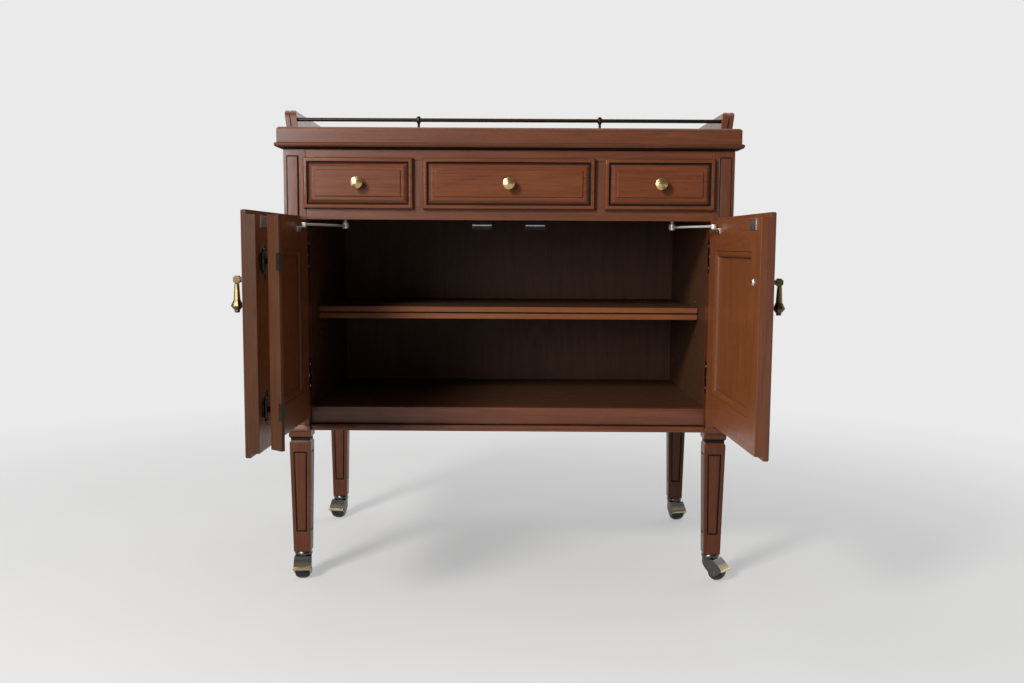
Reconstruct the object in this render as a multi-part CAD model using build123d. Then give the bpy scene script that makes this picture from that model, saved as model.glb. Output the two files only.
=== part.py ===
from build123d import *
import math
import os

# A wooden serving trolley: three drawers over a pair of doors, on tapered legs with hooded ball castors.
# Millimetres. The floor is z = 0, the front faces -Y and the origin lies under the middle of the cabinet.
# The doors are modelled standing open, and every drawer shut.

# Cabinet
carcass_width = 763.4
carcass_depth = 483.6
post_size = 37.6
castor_height = 46.5
leg_height = 217.5
base_height = 10.3
post_height = 471.3
cornice_height = 10.4
top_thickness = 26.1

# Top, cornice and gallery
board_overhang = 9.4
board_round = 3.0
cornice_overhang = 13.3
cornice_width = 40.0
cornice_nose = 2.8
cornice_ease = 1.9
cornice_cove_height = 4.2
gallery_height = 31.0
gallery_thickness = 19.6
gallery_lean = 4.0
gallery_inset = 22.3
gallery_front_gap = 28.5
gallery_ear_radius = 13.0
gallery_bead_gap = 1.6
gallery_bead_depth = 13.0
gallery_inner_leaf = 11.4
gallery_ease = 2.8
rail_diameter = 6.2
rail_rise = 15.5
rail_setback = 8.5
rail_socket = 6.0
rail_play = 0.1
support_spread = 154.5
support_ball_radius = 4.6
support_ball_half = 6.2
support_ball_band = 3.6
support_stem_radius = 2.1
support_foot_radius = 5.6
support_foot_height = 3.0
support_foot_rim = 1.0
support_sides = 8

# Posts and rails
pilaster_width = 20.6
pilaster_relief = 2.4
pilaster_shift = 3.4
pilaster_top_gap = 10.6
pilaster_foot_gap = 14.0
pilaster_chamfer = 1.8
rail_thickness = 22.0
top_rail_height = 17.6
drawer_rail_height = 21.8
drawer_opening_height = 78.3
centre_opening_width = 283.5
divider_width = 24.0
bottom_rail_height = 29.4
side_rail_top_height = 58.0
side_rail_bottom_height = 62.0
side_rail_recess = 3.5
side_panel_thickness = 16.0
side_field_margin = 26.0
side_field_rise = 7.0
side_field_bevel = 14.0
back_panel_thickness = 8.0
back_rail_height = 60.0
back_rail_thickness = 20.0
dust_board_thickness = 14.0
bottom_board_thickness = 14.0
guide_height = 30.0

# Base moulding
base_projection = 2.0
base_rail_setback = 7.0
base_rail_width = 60.0
base_bevel_height = 4.5

# Legs
leg_inset = 1.9
capital_size = 38.8
capital_height = 11.0
capital_cove_height = 3.0
neck_size = 32.8
neck_height = 4.2
shoulder_height = 4.4
leg_top_size = 36.9
leg_bottom_size = 29.2
inlay_margin = 6.2
inlay_top_gap = 15.5
inlay_bottom_gap = 36.0
inlay_line = 2.4
inlay_depth = 1.2

# Shelf
shelf_thickness = 21.8
shelf_rise = 149.5
shelf_setback = 108.0
shelf_side_gap = 1.5
shelf_back_gap = 1.0
shelf_groove = 2.4
shelf_groove_depth = 1.6
pin_diameter = 6.0
pin_reach = 9.0
pin_socket = 9.0
pin_front_inset = 34.0
pin_back_inset = 40.0

# Drawers
drawer_lip = 4.0
drawer_lip_thickness = 9.6
drawer_lip_round = 4.0
drawer_inset_thickness = 10.0
drawer_play = 1.2
drawer_running_gap = 0.3
drawer_border = 7.0
drawer_groove = 4.0
drawer_groove_depth = 3.2
drawer_bevel = 4.5
drawer_wall = 10.0
drawer_floor = 5.0
drawer_box_height = 64.0
drawer_back_gap = 31.0
knob_radius = 10.0
knob_length = 21.0
knob_neck_radius = 4.0
knob_neck_end = 8.4
knob_base_radius = 6.4
knob_base_rim = 1.8
knob_base_length = 3.0
knob_rim = 1.4
knob_crown = 2.0
knob_dome_radius = 6.4
knob_dome_drop = 0.7
knob_tip_radius = 2.0
knob_spigot_radius = 2.5
knob_spigot_length = 12.0
knob_spigot_play = 0.1

# Doors
door_open_angle = 91.7
door_meeting_gap = 1.0
door_side_gap = 1.5
door_top_gap = 1.0
door_bottom_gap = 16.5
door_rebate_thickness = 12.5
door_lip_thickness = 8.5
door_lip_clearance = 0.3
door_lip_side = 7.9
door_lip_ends = 6.5
door_lip_round = 3.2
meeting_stile_width = 62.0
hinge_stile_width = 56.0
door_rail_width = 58.0
door_moulding_width = 10.0
door_moulding_step = 1.4
door_moulding_round = 5.0
door_panel_thickness = 6.5
door_outer_recess = 8.0
door_outer_bevel = 5.0
door_field_margin = 4.0
door_field_bevel = 16.0
door_field_rise = 4.5

# Hinges of the doors
hinge_offset = 11.9
hinge_upper_rise = 277.2
hinge_lower_rise = 69.2
hinge_length = 55.0
hinge_knuckle_radius = 3.75
hinge_knuckle_gap = 0.3
hinge_middle_knuckle = 19.0
hinge_pin_radius = 1.4
hinge_pin_play = 0.1
hinge_leaf_thickness = 1.5
hinge_leaf_depth = 27.0
hinge_web = 3.0
hinge_strip_notch = 0.6

# Hinged meeting strip on the left door
strip_width = 25.0
strip_thickness = 6.0
strip_overlap = 5.0
strip_standoff = 1.6
strip_bottom_gap = 5.0
strip_top_gap = 0.6
strip_rail_gap = 0.8
strip_open_angle = 50.0
strip_axis_inset = 20.0
strip_hinge_upper_rise = 271.2
strip_hinge_lower_rise = 61.2
strip_hinge_length = 56.0
strip_knuckle_length = 24.0
strip_middle_knuckle = 8.0
strip_knuckle_radius = 3.2
strip_leaf_thickness = 1.2
strip_leaf_width = 30.0
strip_leaf_waist = 15.0
strip_leaf_waist_inset = 7.5
strip_wrap = 4.0

# Stays that hold the doors open
stay_radius = 86.0
stay_guide_back = 47.0
stay_rod_radius = 2.0
stay_rod_tail = 3.5
stay_stop_radius = 2.6
stay_stop_length = 2.0
stay_drop = 17.5
stay_standoff = 9.0
stay_eye_radius = 4.2
stay_eye_height = 6.0
stay_pin_radius = 1.6
stay_pin_play = 0.2
stay_bracket_length = 26.0
stay_bracket_height = 9.0
stay_bracket_thickness = 1.6
guide_eye_radius = 5.0
guide_hole_play = 0.5
guide_stem_radius = 2.6
guide_plate_radius = 8.0
guide_plate_thickness = 1.6

# Catches and strikes
catch_middle = 45.5
catch_width = 35.0
catch_depth = 24.0
catch_drop = 15.5
catch_gap = 0.6
strike_height = 16.0
strike_thickness = 1.2
strike_top_gap = 1.5

# Drop pulls
pull_sides = 8
pull_inset = 35.5
pull_rise = 244.7
pull_standoff = 16.0
pull_rosette_radius = 7.0
pull_rosette_thickness = 2.0
pull_stem_radius = 3.2
pull_bolt_radius = 2.2
pull_head_width = 9.6
pull_head_height = 11.4
pull_head_front = 4.2
pull_head_back = 6.0
pull_head_chamfer = 3.2
pull_slot = 4.6
pull_slot_play = 0.3
pull_pin_radius = 1.3
pull_pin_play = 0.15
pull_eye_radius = 3.6
pull_tongue_thickness = 4.8
pull_grip_top_radius = 3.2
pull_grip_top_drop = 6.4
pull_grip_radius = 4.4
pull_grip_drop = 28.5
pull_flare_radius = 8.0
pull_flare_drop = 36.6
pull_flare_ridge = 1.4
pull_waist_radius = 3.4
pull_waist_drop = 43.8
pull_tip_radius = 3.9
pull_tip_drop = 44.6
pull_end_radius = 2.8
pull_length = 47.0

# Castors
castor_trail = 14.0
castor_ball_radius = 14.5
castor_ball_tread = 2.5
castor_ball_flat = 12.2
castor_ball_steps = 2
castor_hood_gap = 1.0
castor_hood_wall = 1.8
castor_cheek_gap = 0.8
castor_cheek_wall = 2.2
castor_cheek_end = 6.5
castor_rim_lift = 4.5
castor_rim_radius = 1.3
castor_rim_reach = 1.6
castor_neck_radius = 14.0
castor_neck_height = 6.0
castor_axle_radius = 2.2
castor_axle_play = 0.3
castor_axle_head = 0.6
castor_axle_head_radius = 3.4
castor_cover_steps = 5
castor_cup_height = 8.0
castor_cup_foot_radius = 14.2
castor_cup_radius = 15.4
castor_cup_band = 2.0
castor_cup_seat_radius = 13.6
castor_cup_gap = 0.4
castor_stem_radius = 4.0
castor_stem_play = 0.2
castor_stem_rise = 11.0
castor_turns = {"front_left": 4.0, "front_right": 52.0, "back_left": -14.0, "back_right": 16.0}

# Flats round the turned pieces, the small round ones and the holes, and across a rounded edge
turned_sides = 16
small_sides = 12
hole_sides = 8
round_steps = 3

# Levels and planes worked out from the sizes
leg_bottom = castor_height
base_bottom = leg_bottom + leg_height
base_top = base_bottom + base_height
cornice_bottom = base_top + post_height
board_bottom = cornice_bottom + cornice_height
board_top = board_bottom + top_thickness
post_out_x = carcass_width / 2
post_in_x = post_out_x - post_size
post_mid_x = post_out_x - post_size / 2
front_y = -carcass_depth / 2
back_y = carcass_depth / 2
post_mid_y = back_y - post_size / 2
back_panel_y = back_y - post_size
drawer_ceiling = cornice_bottom - top_rail_height
drawer_deck = drawer_ceiling - drawer_opening_height
opening_top = drawer_deck - drawer_rail_height
dust_underside = drawer_deck - dust_board_thickness
floor_top = base_top + bottom_rail_height
leg_mid_x = post_mid_x - leg_inset
leg_mid_y = post_mid_y - leg_inset

door_bottom = base_top + door_bottom_gap
door_top = opening_top - door_top_gap
door_meeting_x = door_meeting_gap / 2
door_edge_x = post_in_x - door_side_gap
door_lip_x = door_edge_x + door_lip_side
door_inner_y = front_y + door_rebate_thickness
door_step_y = front_y - door_lip_clearance
door_outer_y = door_step_y - door_lip_thickness
hinge_x = post_in_x + hinge_offset
hinge_y = (door_outer_y + door_step_y) / 2
bottom_rail_y = door_inner_y + strip_standoff + strip_thickness + strip_rail_gap
hinge_upper_height = door_bottom + hinge_upper_rise
hinge_lower_height = door_bottom + hinge_lower_rise
strip_hinge_upper = door_bottom + strip_hinge_upper_rise
strip_hinge_lower = door_bottom + strip_hinge_lower_rise
pull_height = door_bottom + pull_rise
shelf_bottom_height = floor_top + shelf_rise
stay_z = dust_underside - stay_drop


def block(x_range, y_range, z_range):
    """Make a box from its lowest and highest values on each axis."""
    ranges = (x_range, y_range, z_range)
    size = [high - low for low, high in ranges]
    middle = [(high + low) / 2 for low, high in ranges]
    return Pos(*middle) * Box(*size)


def ring(radius, sides):
    """Make a regular polygon whose flats lie at the radius and face the axes."""
    return RegularPolygon(radius, sides, major_radius=False, rotation=180 / sides)


def bar(radius, length, sides):
    """Make a bar along Z round the origin: with flats, or a true cylinder where sides is 0."""
    if sides == 0:
        return Cylinder(radius, length)
    return extrude(ring(radius, sides), length / 2, both=True)


def upright(x, y, z_range, radius, sides=0):
    """Make a vertical bar."""
    low, high = z_range
    return Pos(x, y, (low + high) / 2) * bar(radius, high - low, sides)


def lengthwise(x_range, y, z, radius, sides=0):
    """Make a bar along X."""
    low, high = x_range
    return Pos((low + high) / 2, y, z) * Rot(0, 90, 0) * bar(radius, high - low, sides)


def crosswise(x, y_range, z, radius, sides=0):
    """Make a bar along Y."""
    low, high = y_range
    return Pos(x, (low + high) / 2, z) * Rot(90, 0, 0) * bar(radius, high - low, sides)


def band(low_radius, high_radius, height, sides):
    """Make a ring of flats on XY that slopes evenly from the lower radius to the upper."""
    slope = math.degrees(math.atan(abs(low_radius - high_radius) / height))
    wide = extrude(ring(max(low_radius, high_radius), sides), height, taper=slope)
    return wide if low_radius >= high_radius else Pos(0, 0, height) * Rot(180, 0, 0) * wide


def turned(profile, sides):
    """Stack bands of flats through (radius, height) points, from the lowest up."""
    shape = Part()
    for (low_radius, low), (high_radius, high) in zip(profile, profile[1:]):
        if low < high:
            shape += Pos(0, 0, low) * band(low_radius, high_radius, high - low, sides)
    return shape


def field(width, height, bevel, rise):
    """Make a raised field lying on XY: a flat block whose edges slope in by the bevel."""
    return extrude(Rectangle(width, height), rise, taper=math.degrees(math.atan(bevel / rise)))


def eased_plate(width, height, thickness, radius):
    """Make a plate lying on XY whose upper edges are rounded over in short flats."""
    plate = extrude(Rectangle(width, height), thickness - radius)
    inset = 0.0
    level = 0.0
    for step in range(round_steps):
        angle = math.pi / 2 * (step + 1) / round_steps
        further = radius * (1 - math.cos(angle))
        higher = radius * math.sin(angle)
        layer = field(width - 2 * inset, height - 2 * inset, further - inset, higher - level)
        plate += Pos(0, 0, thickness - radius + level) * layer
        inset = further
        level = higher
    return plate


def flip(solid):
    """Mirror a right-hand piece to the left."""
    return mirror(solid, about=Plane.YZ)


def both_sides(solid):
    """Return a right-hand piece and its left-hand twin."""
    return [solid, flip(solid)]


def four_corners(solid):
    """Repeat a piece of the back right corner at all four corners."""
    right = [solid, mirror(solid, about=Plane.XZ)]
    return right + [flip(piece) for piece in right]


def spin(solid, x, y, angle):
    """Turn a piece about a vertical axis."""
    return solid.rotate(Axis((x, y, 0), (0, 0, 1)), angle)


def save(name, *pieces):
    """Write one sub-part, as separate solids where it has several."""
    solids = [solid for piece in pieces for solid in piece.solids()]
    shape = solids[0] if len(solids) == 1 else Compound(solids)
    export_step(shape, f"parts/{name}.step")


def mitred_member(half_length, outer_y, width, z_range):
    """Make the front member of a frame with mitred ends, its outer face at outer_y."""
    low, high = z_range
    outline = Polyline(
        (-half_length, outer_y),
        (half_length, outer_y),
        (half_length - width, outer_y + width),
        (-half_length + width, outer_y + width),
        close=True,
    )
    return Pos(0, 0, low) * extrude(make_face(outline), high - low)


def cornice_member(half_length, outer_y):
    """Make one cornice member: an eased nose above a cove that slopes back to the posts."""
    member = mitred_member(half_length, outer_y, cornice_width, (cornice_bottom, board_bottom))
    outer = member.edges().filter_by(Axis.X).group_by(Axis.Y)[0].sort_by(Axis.Z)
    member = chamfer(outer[0], cornice_cove_height, cornice_overhang - cornice_nose)
    outer = member.edges().filter_by(Axis.X).group_by(Axis.Y)[0]
    return chamfer(outer, cornice_ease)


def make_top():
    """Make the top board, its cornice, the leaning side galleries and the rails between them."""
    half_x = post_out_x + board_overhang
    half_y = back_y + board_overhang
    board = block((-half_x, half_x), (-half_y, half_y), (board_bottom, board_top))
    board = chamfer(board.edges().group_by(Axis.Z)[-1], board_round)
    save("top_board", board)

    lip_x = post_out_x + cornice_overhang
    lip_y = back_y + cornice_overhang
    front = cornice_member(lip_x, -lip_y)
    side = Rot(0, 0, 90) * cornice_member(lip_y, -lip_x)
    save("cornice_moulding", front, mirror(front, about=Plane.XZ), *both_sides(side))

    # The gallery board is two leaves side by side, eased along the top, leaning outwards
    foot_x = post_out_x - gallery_inset
    ear_y = half_y - gallery_front_gap
    section = make_face(
        Polyline(
            (foot_x, board_top),
            (foot_x + gallery_thickness, board_top),
            (foot_x + gallery_thickness + gallery_lean, board_top + gallery_height),
            (foot_x + gallery_lean, board_top + gallery_height),
            close=True,
        )
    )
    leaf_x = foot_x + gallery_lean + gallery_inner_leaf
    gap_low = board_top + gallery_height - gallery_bead_depth
    gap_drift = gallery_lean * gallery_bead_depth / gallery_height
    gap = make_face(
        Polyline(
            (leaf_x - gap_drift, gap_low),
            (leaf_x + gallery_bead_gap, board_top + gallery_height),
            (leaf_x - gallery_bead_gap, board_top + gallery_height),
            close=True,
        )
    )
    section = section - gap
    tops = section.vertices().group_by(Axis.Y)[-1].sort_by(Axis.X)
    section = chamfer([tops[0], tops[-1]], gallery_ease)
    length = extrude(Plane.XZ * section, ear_y, both=True)
    side_view = RectangleRounded(2 * ear_y, 2 * gallery_height, gallery_ear_radius)
    ears = Pos(0, 0, board_top) * extrude(Plane.YZ * side_view, half_x)
    rail_y = ear_y - rail_setback
    rail_z = board_top + rail_rise
    rail_radius = rail_diameter / 2
    face_x = foot_x + gallery_lean * rail_rise / gallery_height
    rail_end = face_x + rail_socket
    socket_radius = rail_radius + rail_play
    sockets = [lengthwise((0, rail_end), y, rail_z, socket_radius, small_sides) for y in (-rail_y, rail_y)]
    gallery = (length & ears) - sockets[0] - sockets[1]
    save("gallery_boards", *both_sides(gallery))
    reach = (-rail_end, rail_end)
    rails = [lengthwise(reach, y, rail_z, rail_radius, small_sides) for y in (-rail_y, rail_y)]
    save("gallery_rails", *rails)

    # Each support is a turned baluster with the rail through its ball
    support = turned(
        [
            (support_foot_radius, 0),
            (support_foot_radius, support_foot_rim),
            (support_stem_radius, support_foot_height),
            (support_stem_radius, rail_rise - support_ball_half),
            (support_ball_radius, rail_rise - support_ball_band / 2),
            (support_ball_radius, rail_rise + support_ball_band / 2),
            (support_stem_radius, rail_rise + support_ball_half),
        ],
        support_sides,
    )
    bore = lengthwise((-support_foot_radius, support_foot_radius), 0, rail_rise, socket_radius, small_sides)
    support = Pos(support_spread, rail_y, board_top) * (support - bore)
    save("gallery_supports", *four_corners(support))


def pilaster():
    """Make the raised strip on the front face of the front right post, with bevelled edges."""
    low = base_top + pilaster_foot_gap
    high = cornice_bottom - pilaster_top_gap
    strip = field(pilaster_width, high - low, pilaster_chamfer, pilaster_relief)
    return Pos(post_mid_x + pilaster_shift, front_y, (low + high) / 2) * Rot(90, 0, 0) * strip


def post_leaf(height):
    """Make the right post's half of a door hinge: a leaf let into the post and the middle knuckle."""
    z_range = (height - hinge_length / 2, height + hinge_length / 2)
    side = block(
        (post_in_x, post_in_x + hinge_leaf_thickness),
        (front_y, front_y + hinge_leaf_depth),
        z_range,
    )
    face = block((post_in_x, hinge_x + hinge_web / 2), (front_y, front_y + hinge_leaf_thickness), z_range)
    middle = (height - hinge_middle_knuckle / 2, height + hinge_middle_knuckle / 2)
    web = block((hinge_x - hinge_web / 2, hinge_x + hinge_web / 2), (hinge_y, front_y), middle)
    knuckle = upright(hinge_x, hinge_y, middle, hinge_knuckle_radius, small_sides)
    bore = upright(hinge_x, hinge_y, middle, hinge_pin_radius + hinge_pin_play, hole_sides)
    return side + face, side + face + web + knuckle - bore


def make_carcass():
    """Make the posts, rails, panels, boards and guides of the cabinet."""
    hinge_heights = (hinge_upper_height, hinge_lower_height)
    front_post = block((post_in_x, post_out_x), (front_y, front_y + post_size), (base_top, cornice_bottom))
    back_post = mirror(front_post, about=Plane.XZ)
    front_post += pilaster()
    back_post += mirror(pilaster(), about=Plane.XZ)
    leaves = []
    for height in hinge_heights:
        pocket, leaf = post_leaf(height)
        half = hinge_length / 2 + hinge_strip_notch
        reach = hinge_knuckle_radius + hinge_strip_notch
        notch = block(
            (post_in_x, hinge_x + reach),
            (front_y - pilaster_relief, front_y),
            (height - half, height + half),
        )
        front_post -= pocket + notch
        leaves += both_sides(leaf)
    save("corner_posts", *both_sides(front_post), *both_sides(back_post))
    save("post_hinge_leaves", *leaves)

    inside = (-post_in_x, post_in_x)
    rail_back_y = front_y + rail_thickness
    bottom_rail_back = bottom_rail_y + rail_thickness
    save(
        "front_rails",
        block(inside, (front_y, rail_back_y), (drawer_ceiling, cornice_bottom)),
        block(inside, (front_y, rail_back_y), (opening_top, drawer_deck)),
        block(inside, (bottom_rail_y, bottom_rail_back), (base_top, floor_top)),
    )

    divider = (centre_opening_width / 2, centre_opening_width / 2 + divider_width)
    divider_z = (drawer_deck, drawer_ceiling)
    save("drawer_dividers", *both_sides(block(divider, (front_y, rail_back_y), divider_z)))
    guide_z = (drawer_deck, drawer_deck + guide_height)
    save("drawer_guides", *both_sides(block(divider, (rail_back_y, back_panel_y), guide_z)))
    save("dust_board", block(inside, (rail_back_y, back_panel_y), (dust_underside, drawer_deck)))
    board_z = (floor_top - bottom_board_thickness, floor_top)
    save("bottom_board", block(inside, (bottom_rail_back, back_panel_y), board_z))

    # Each side is a panel with a raised field outside, held between two rails and two posts
    between_posts = (front_y + post_size, back_y - post_size)
    panel_out_x = post_in_x + side_panel_thickness
    rail_x = (panel_out_x, post_out_x - side_rail_recess)
    upper = (cornice_bottom - side_rail_top_height, cornice_bottom)
    lower = (base_top, base_top + side_rail_bottom_height)
    panel = block((post_in_x, panel_out_x), between_posts, (base_top, cornice_bottom))
    field_width = between_posts[1] - between_posts[0] - 2 * side_field_margin
    field_height = upper[0] - lower[1] - 2 * side_field_margin
    raised = field(field_width, field_height, side_field_bevel, side_field_rise)
    panel += Pos(panel_out_x, 0, (upper[0] + lower[1]) / 2) * Rot(0, 90, 0) * Rot(0, 0, 90) * raised
    pin_radius = pin_diameter / 2
    pin_x = (post_in_x - pin_reach, post_in_x + pin_socket)
    pin_ys = (front_y + shelf_setback + pin_front_inset, back_panel_y - pin_back_inset)
    pin_z = shelf_bottom_height - pin_radius
    pins = [lengthwise(pin_x, y, pin_z, pin_radius, small_sides) for y in pin_ys]
    panel -= pins[0] + pins[1]
    save("side_panel_right", panel)
    save("side_panel_left", flip(panel))
    save("shelf_pins", *both_sides(pins[0]), *both_sides(pins[1]))
    side_rails = [block(rail_x, between_posts, z_range) for z_range in (upper, lower)]
    save("side_rails", *both_sides(side_rails[0]), *both_sides(side_rails[1]))

    back_out_y = back_panel_y + back_panel_thickness
    save("back_panel", block(inside, (back_panel_y, back_out_y), (base_top, cornice_bottom)))
    back_rail_y = (back_out_y, back_out_y + back_rail_thickness)
    save(
        "back_rails",
        block(inside, back_rail_y, (cornice_bottom - back_rail_height, cornice_bottom)),
        block(inside, back_rail_y, (base_top, base_top + back_rail_height)),
    )


def make_base():
    """Make the moulded blocks under the posts and the set-back mouldings between them."""
    half = post_size / 2 + base_projection
    bevel_z = base_top - base_bevel_height
    corner = block(
        (post_mid_x - half, post_mid_x + half),
        (post_mid_y - half, post_mid_y + half),
        (base_bottom, bevel_z),
    )
    bevelled = field(2 * half, 2 * half, base_projection, base_bevel_height)
    corner += Pos(post_mid_x, post_mid_y, bevel_z) * bevelled
    save("base_blocks", *four_corners(corner))

    def member(half_length, outer_y):
        section = Polyline(
            (outer_y, base_bottom),
            (outer_y + base_rail_width, base_bottom),
            (outer_y + base_rail_width, base_top),
            (outer_y + base_projection, base_top),
            (outer_y, bevel_z),
            close=True,
        )
        return extrude(Plane.YZ * make_face(section), half_length, both=True)

    front = member(post_mid_x - half, front_y - base_projection + base_rail_setback)
    side = Rot(0, 0, 90) * member(post_mid_y - half, -post_out_x - base_projection + base_rail_setback)
    save("base_moulding", front, mirror(front, about=Plane.XZ), *both_sides(side))


def make_legs():
    """Make the four tapered legs, each with a capital, a neck and a sunk line round every face."""
    capital_low = base_bottom - capital_height
    neck_high = capital_low - capital_cove_height
    neck_low = neck_high - neck_height
    taper_top = neck_low - shoulder_height
    leg = turned(
        [
            (leg_bottom_size / 2, leg_bottom),
            (leg_top_size / 2, taper_top),
            (neck_size / 2, neck_low),
            (neck_size / 2, neck_high),
            (capital_size / 2, capital_low),
            (capital_size / 2, base_bottom),
        ],
        4,
    )

    # The sunk line follows the slope of the tapered face
    slope = (leg_top_size - leg_bottom_size) / 2 / (taper_top - leg_bottom)
    high = taper_top - inlay_top_gap
    low = leg_bottom + inlay_bottom_gap
    middle = (high + low) / 2

    def half_at(level):
        return leg_top_size / 2 - slope * (taper_top - level)

    def trapezium(shrink):
        top = half_at(high) - inlay_margin - shrink
        bottom = half_at(low) - inlay_margin - shrink
        tall = (high - low) / 2 - shrink
        return make_face(Polyline((-bottom, -tall), (bottom, -tall), (top, tall), (-top, tall), close=True))

    line = extrude(trapezium(0) - trapezium(inlay_line), -inlay_depth)
    tilt = math.degrees(math.atan(slope))
    for quarter in range(4):
        face = Rot(0, 0, 90 * quarter) * Pos(0, -half_at(middle), middle) * Rot(90 + tilt, 0, 0)
        leg -= face * line
    bore_z = (leg_bottom, leg_bottom + castor_stem_rise + castor_stem_play)
    bore = upright(0, 0, bore_z, castor_stem_radius + castor_stem_play, hole_sides)
    save("legs", *four_corners(Pos(leg_mid_x, leg_mid_y, 0) * (leg - bore)))


def make_shelf():
    """Make the shelf, set well back, with a groove along its front edge."""
    half_x = post_in_x - shelf_side_gap
    shelf_y = front_y + shelf_setback
    shelf_z = (shelf_bottom_height, shelf_bottom_height + shelf_thickness)
    shelf = block((-half_x, half_x), (shelf_y, back_panel_y - shelf_back_gap), shelf_z)
    middle = sum(shelf_z) / 2
    groove = block(
        (-half_x, half_x),
        (shelf_y, shelf_y + shelf_groove_depth),
        (middle - shelf_groove / 2, middle + shelf_groove / 2),
    )
    save("shelf", shelf - groove)


def drawer_front(x_range):
    """Make a lipped drawer front with a sunk groove and a raised field."""
    low_x, high_x = x_range
    middle_x = (low_x + high_x) / 2
    middle_z = (drawer_deck + drawer_ceiling) / 2
    width = high_x - low_x + 2 * drawer_lip
    height = drawer_opening_height + 2 * drawer_lip
    plate = eased_plate(width, height, drawer_lip_thickness, drawer_lip_round)
    inner_width = width - 2 * drawer_border
    inner_height = height - 2 * drawer_border
    pocket = extrude(Rectangle(inner_width, inner_height), drawer_groove_depth)
    raised = field(
        inner_width - 2 * drawer_groove,
        inner_height - 2 * drawer_groove,
        drawer_bevel,
        drawer_groove_depth,
    )
    plate -= Pos(0, 0, drawer_lip_thickness - drawer_groove_depth) * (pocket - raised)
    place = Pos(middle_x, front_y - drawer_running_gap, middle_z) * Rot(90, 0, 0)
    inset_y = (front_y - drawer_running_gap, front_y + drawer_inset_thickness)
    inset = block(
        (low_x + drawer_play, high_x - drawer_play),
        inset_y,
        (drawer_deck + drawer_running_gap, drawer_ceiling - drawer_play),
    )
    face_y = front_y - drawer_running_gap - drawer_lip_thickness
    bore_y = (face_y, face_y + knob_spigot_length)
    bore = crosswise(middle_x, bore_y, middle_z, knob_spigot_radius + knob_spigot_play, turned_sides)
    return place * plate + inset - bore


def drawer_box(x_range):
    """Make the two sides, the back and the bottom of a drawer."""
    low_x = x_range[0] + drawer_play
    high_x = x_range[1] - drawer_play
    start_y = front_y + drawer_inset_thickness
    end_y = back_panel_y - drawer_back_gap
    low_z = drawer_deck + drawer_running_gap
    high_z = low_z + drawer_box_height
    inside = (low_x + drawer_wall, high_x - drawer_wall)
    return [
        block((low_x, low_x + drawer_wall), (start_y, end_y), (low_z, high_z)),
        block((high_x - drawer_wall, high_x), (start_y, end_y), (low_z, high_z)),
        block(inside, (end_y - drawer_wall, end_y), (low_z, high_z)),
        block(inside, (start_y, end_y - drawer_wall), (low_z, low_z + drawer_floor)),
    ]


def drawer_knob(x_range):
    """Make a turned knob: a foot, a thin neck and a cone that opens to the front."""
    face_y = front_y - drawer_running_gap - drawer_lip_thickness
    knob = turned(
        [
            (knob_spigot_radius, -knob_spigot_length),
            (knob_spigot_radius, 0),
            (knob_base_radius, 0),
            (knob_base_radius, knob_base_rim),
            (knob_neck_radius, knob_base_length),
            (knob_neck_radius, knob_neck_end),
            (knob_radius, knob_length - knob_crown - knob_rim),
            (knob_radius, knob_length - knob_crown),
            (knob_dome_radius, knob_length - knob_dome_drop),
            (knob_tip_radius, knob_length),
        ],
        turned_sides,
    )
    middle_z = (drawer_deck + drawer_ceiling) / 2
    return Pos(sum(x_range) / 2, face_y, middle_z) * Rot(90, 0, 0) * knob


def make_drawers():
    """Make the three drawers."""
    side = (centre_opening_width / 2 + divider_width, post_in_x)
    openings = {
        "left": (-side[1], -side[0]),
        "centre": (-centre_opening_width / 2, centre_opening_width / 2),
        "right": side,
    }
    for name, x_range in openings.items():
        save(f"{name}_drawer_front", drawer_front(x_range))
        save(f"{name}_drawer_box", *drawer_box(x_range))
        save(f"{name}_drawer_knob", drawer_knob(x_range))


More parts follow.
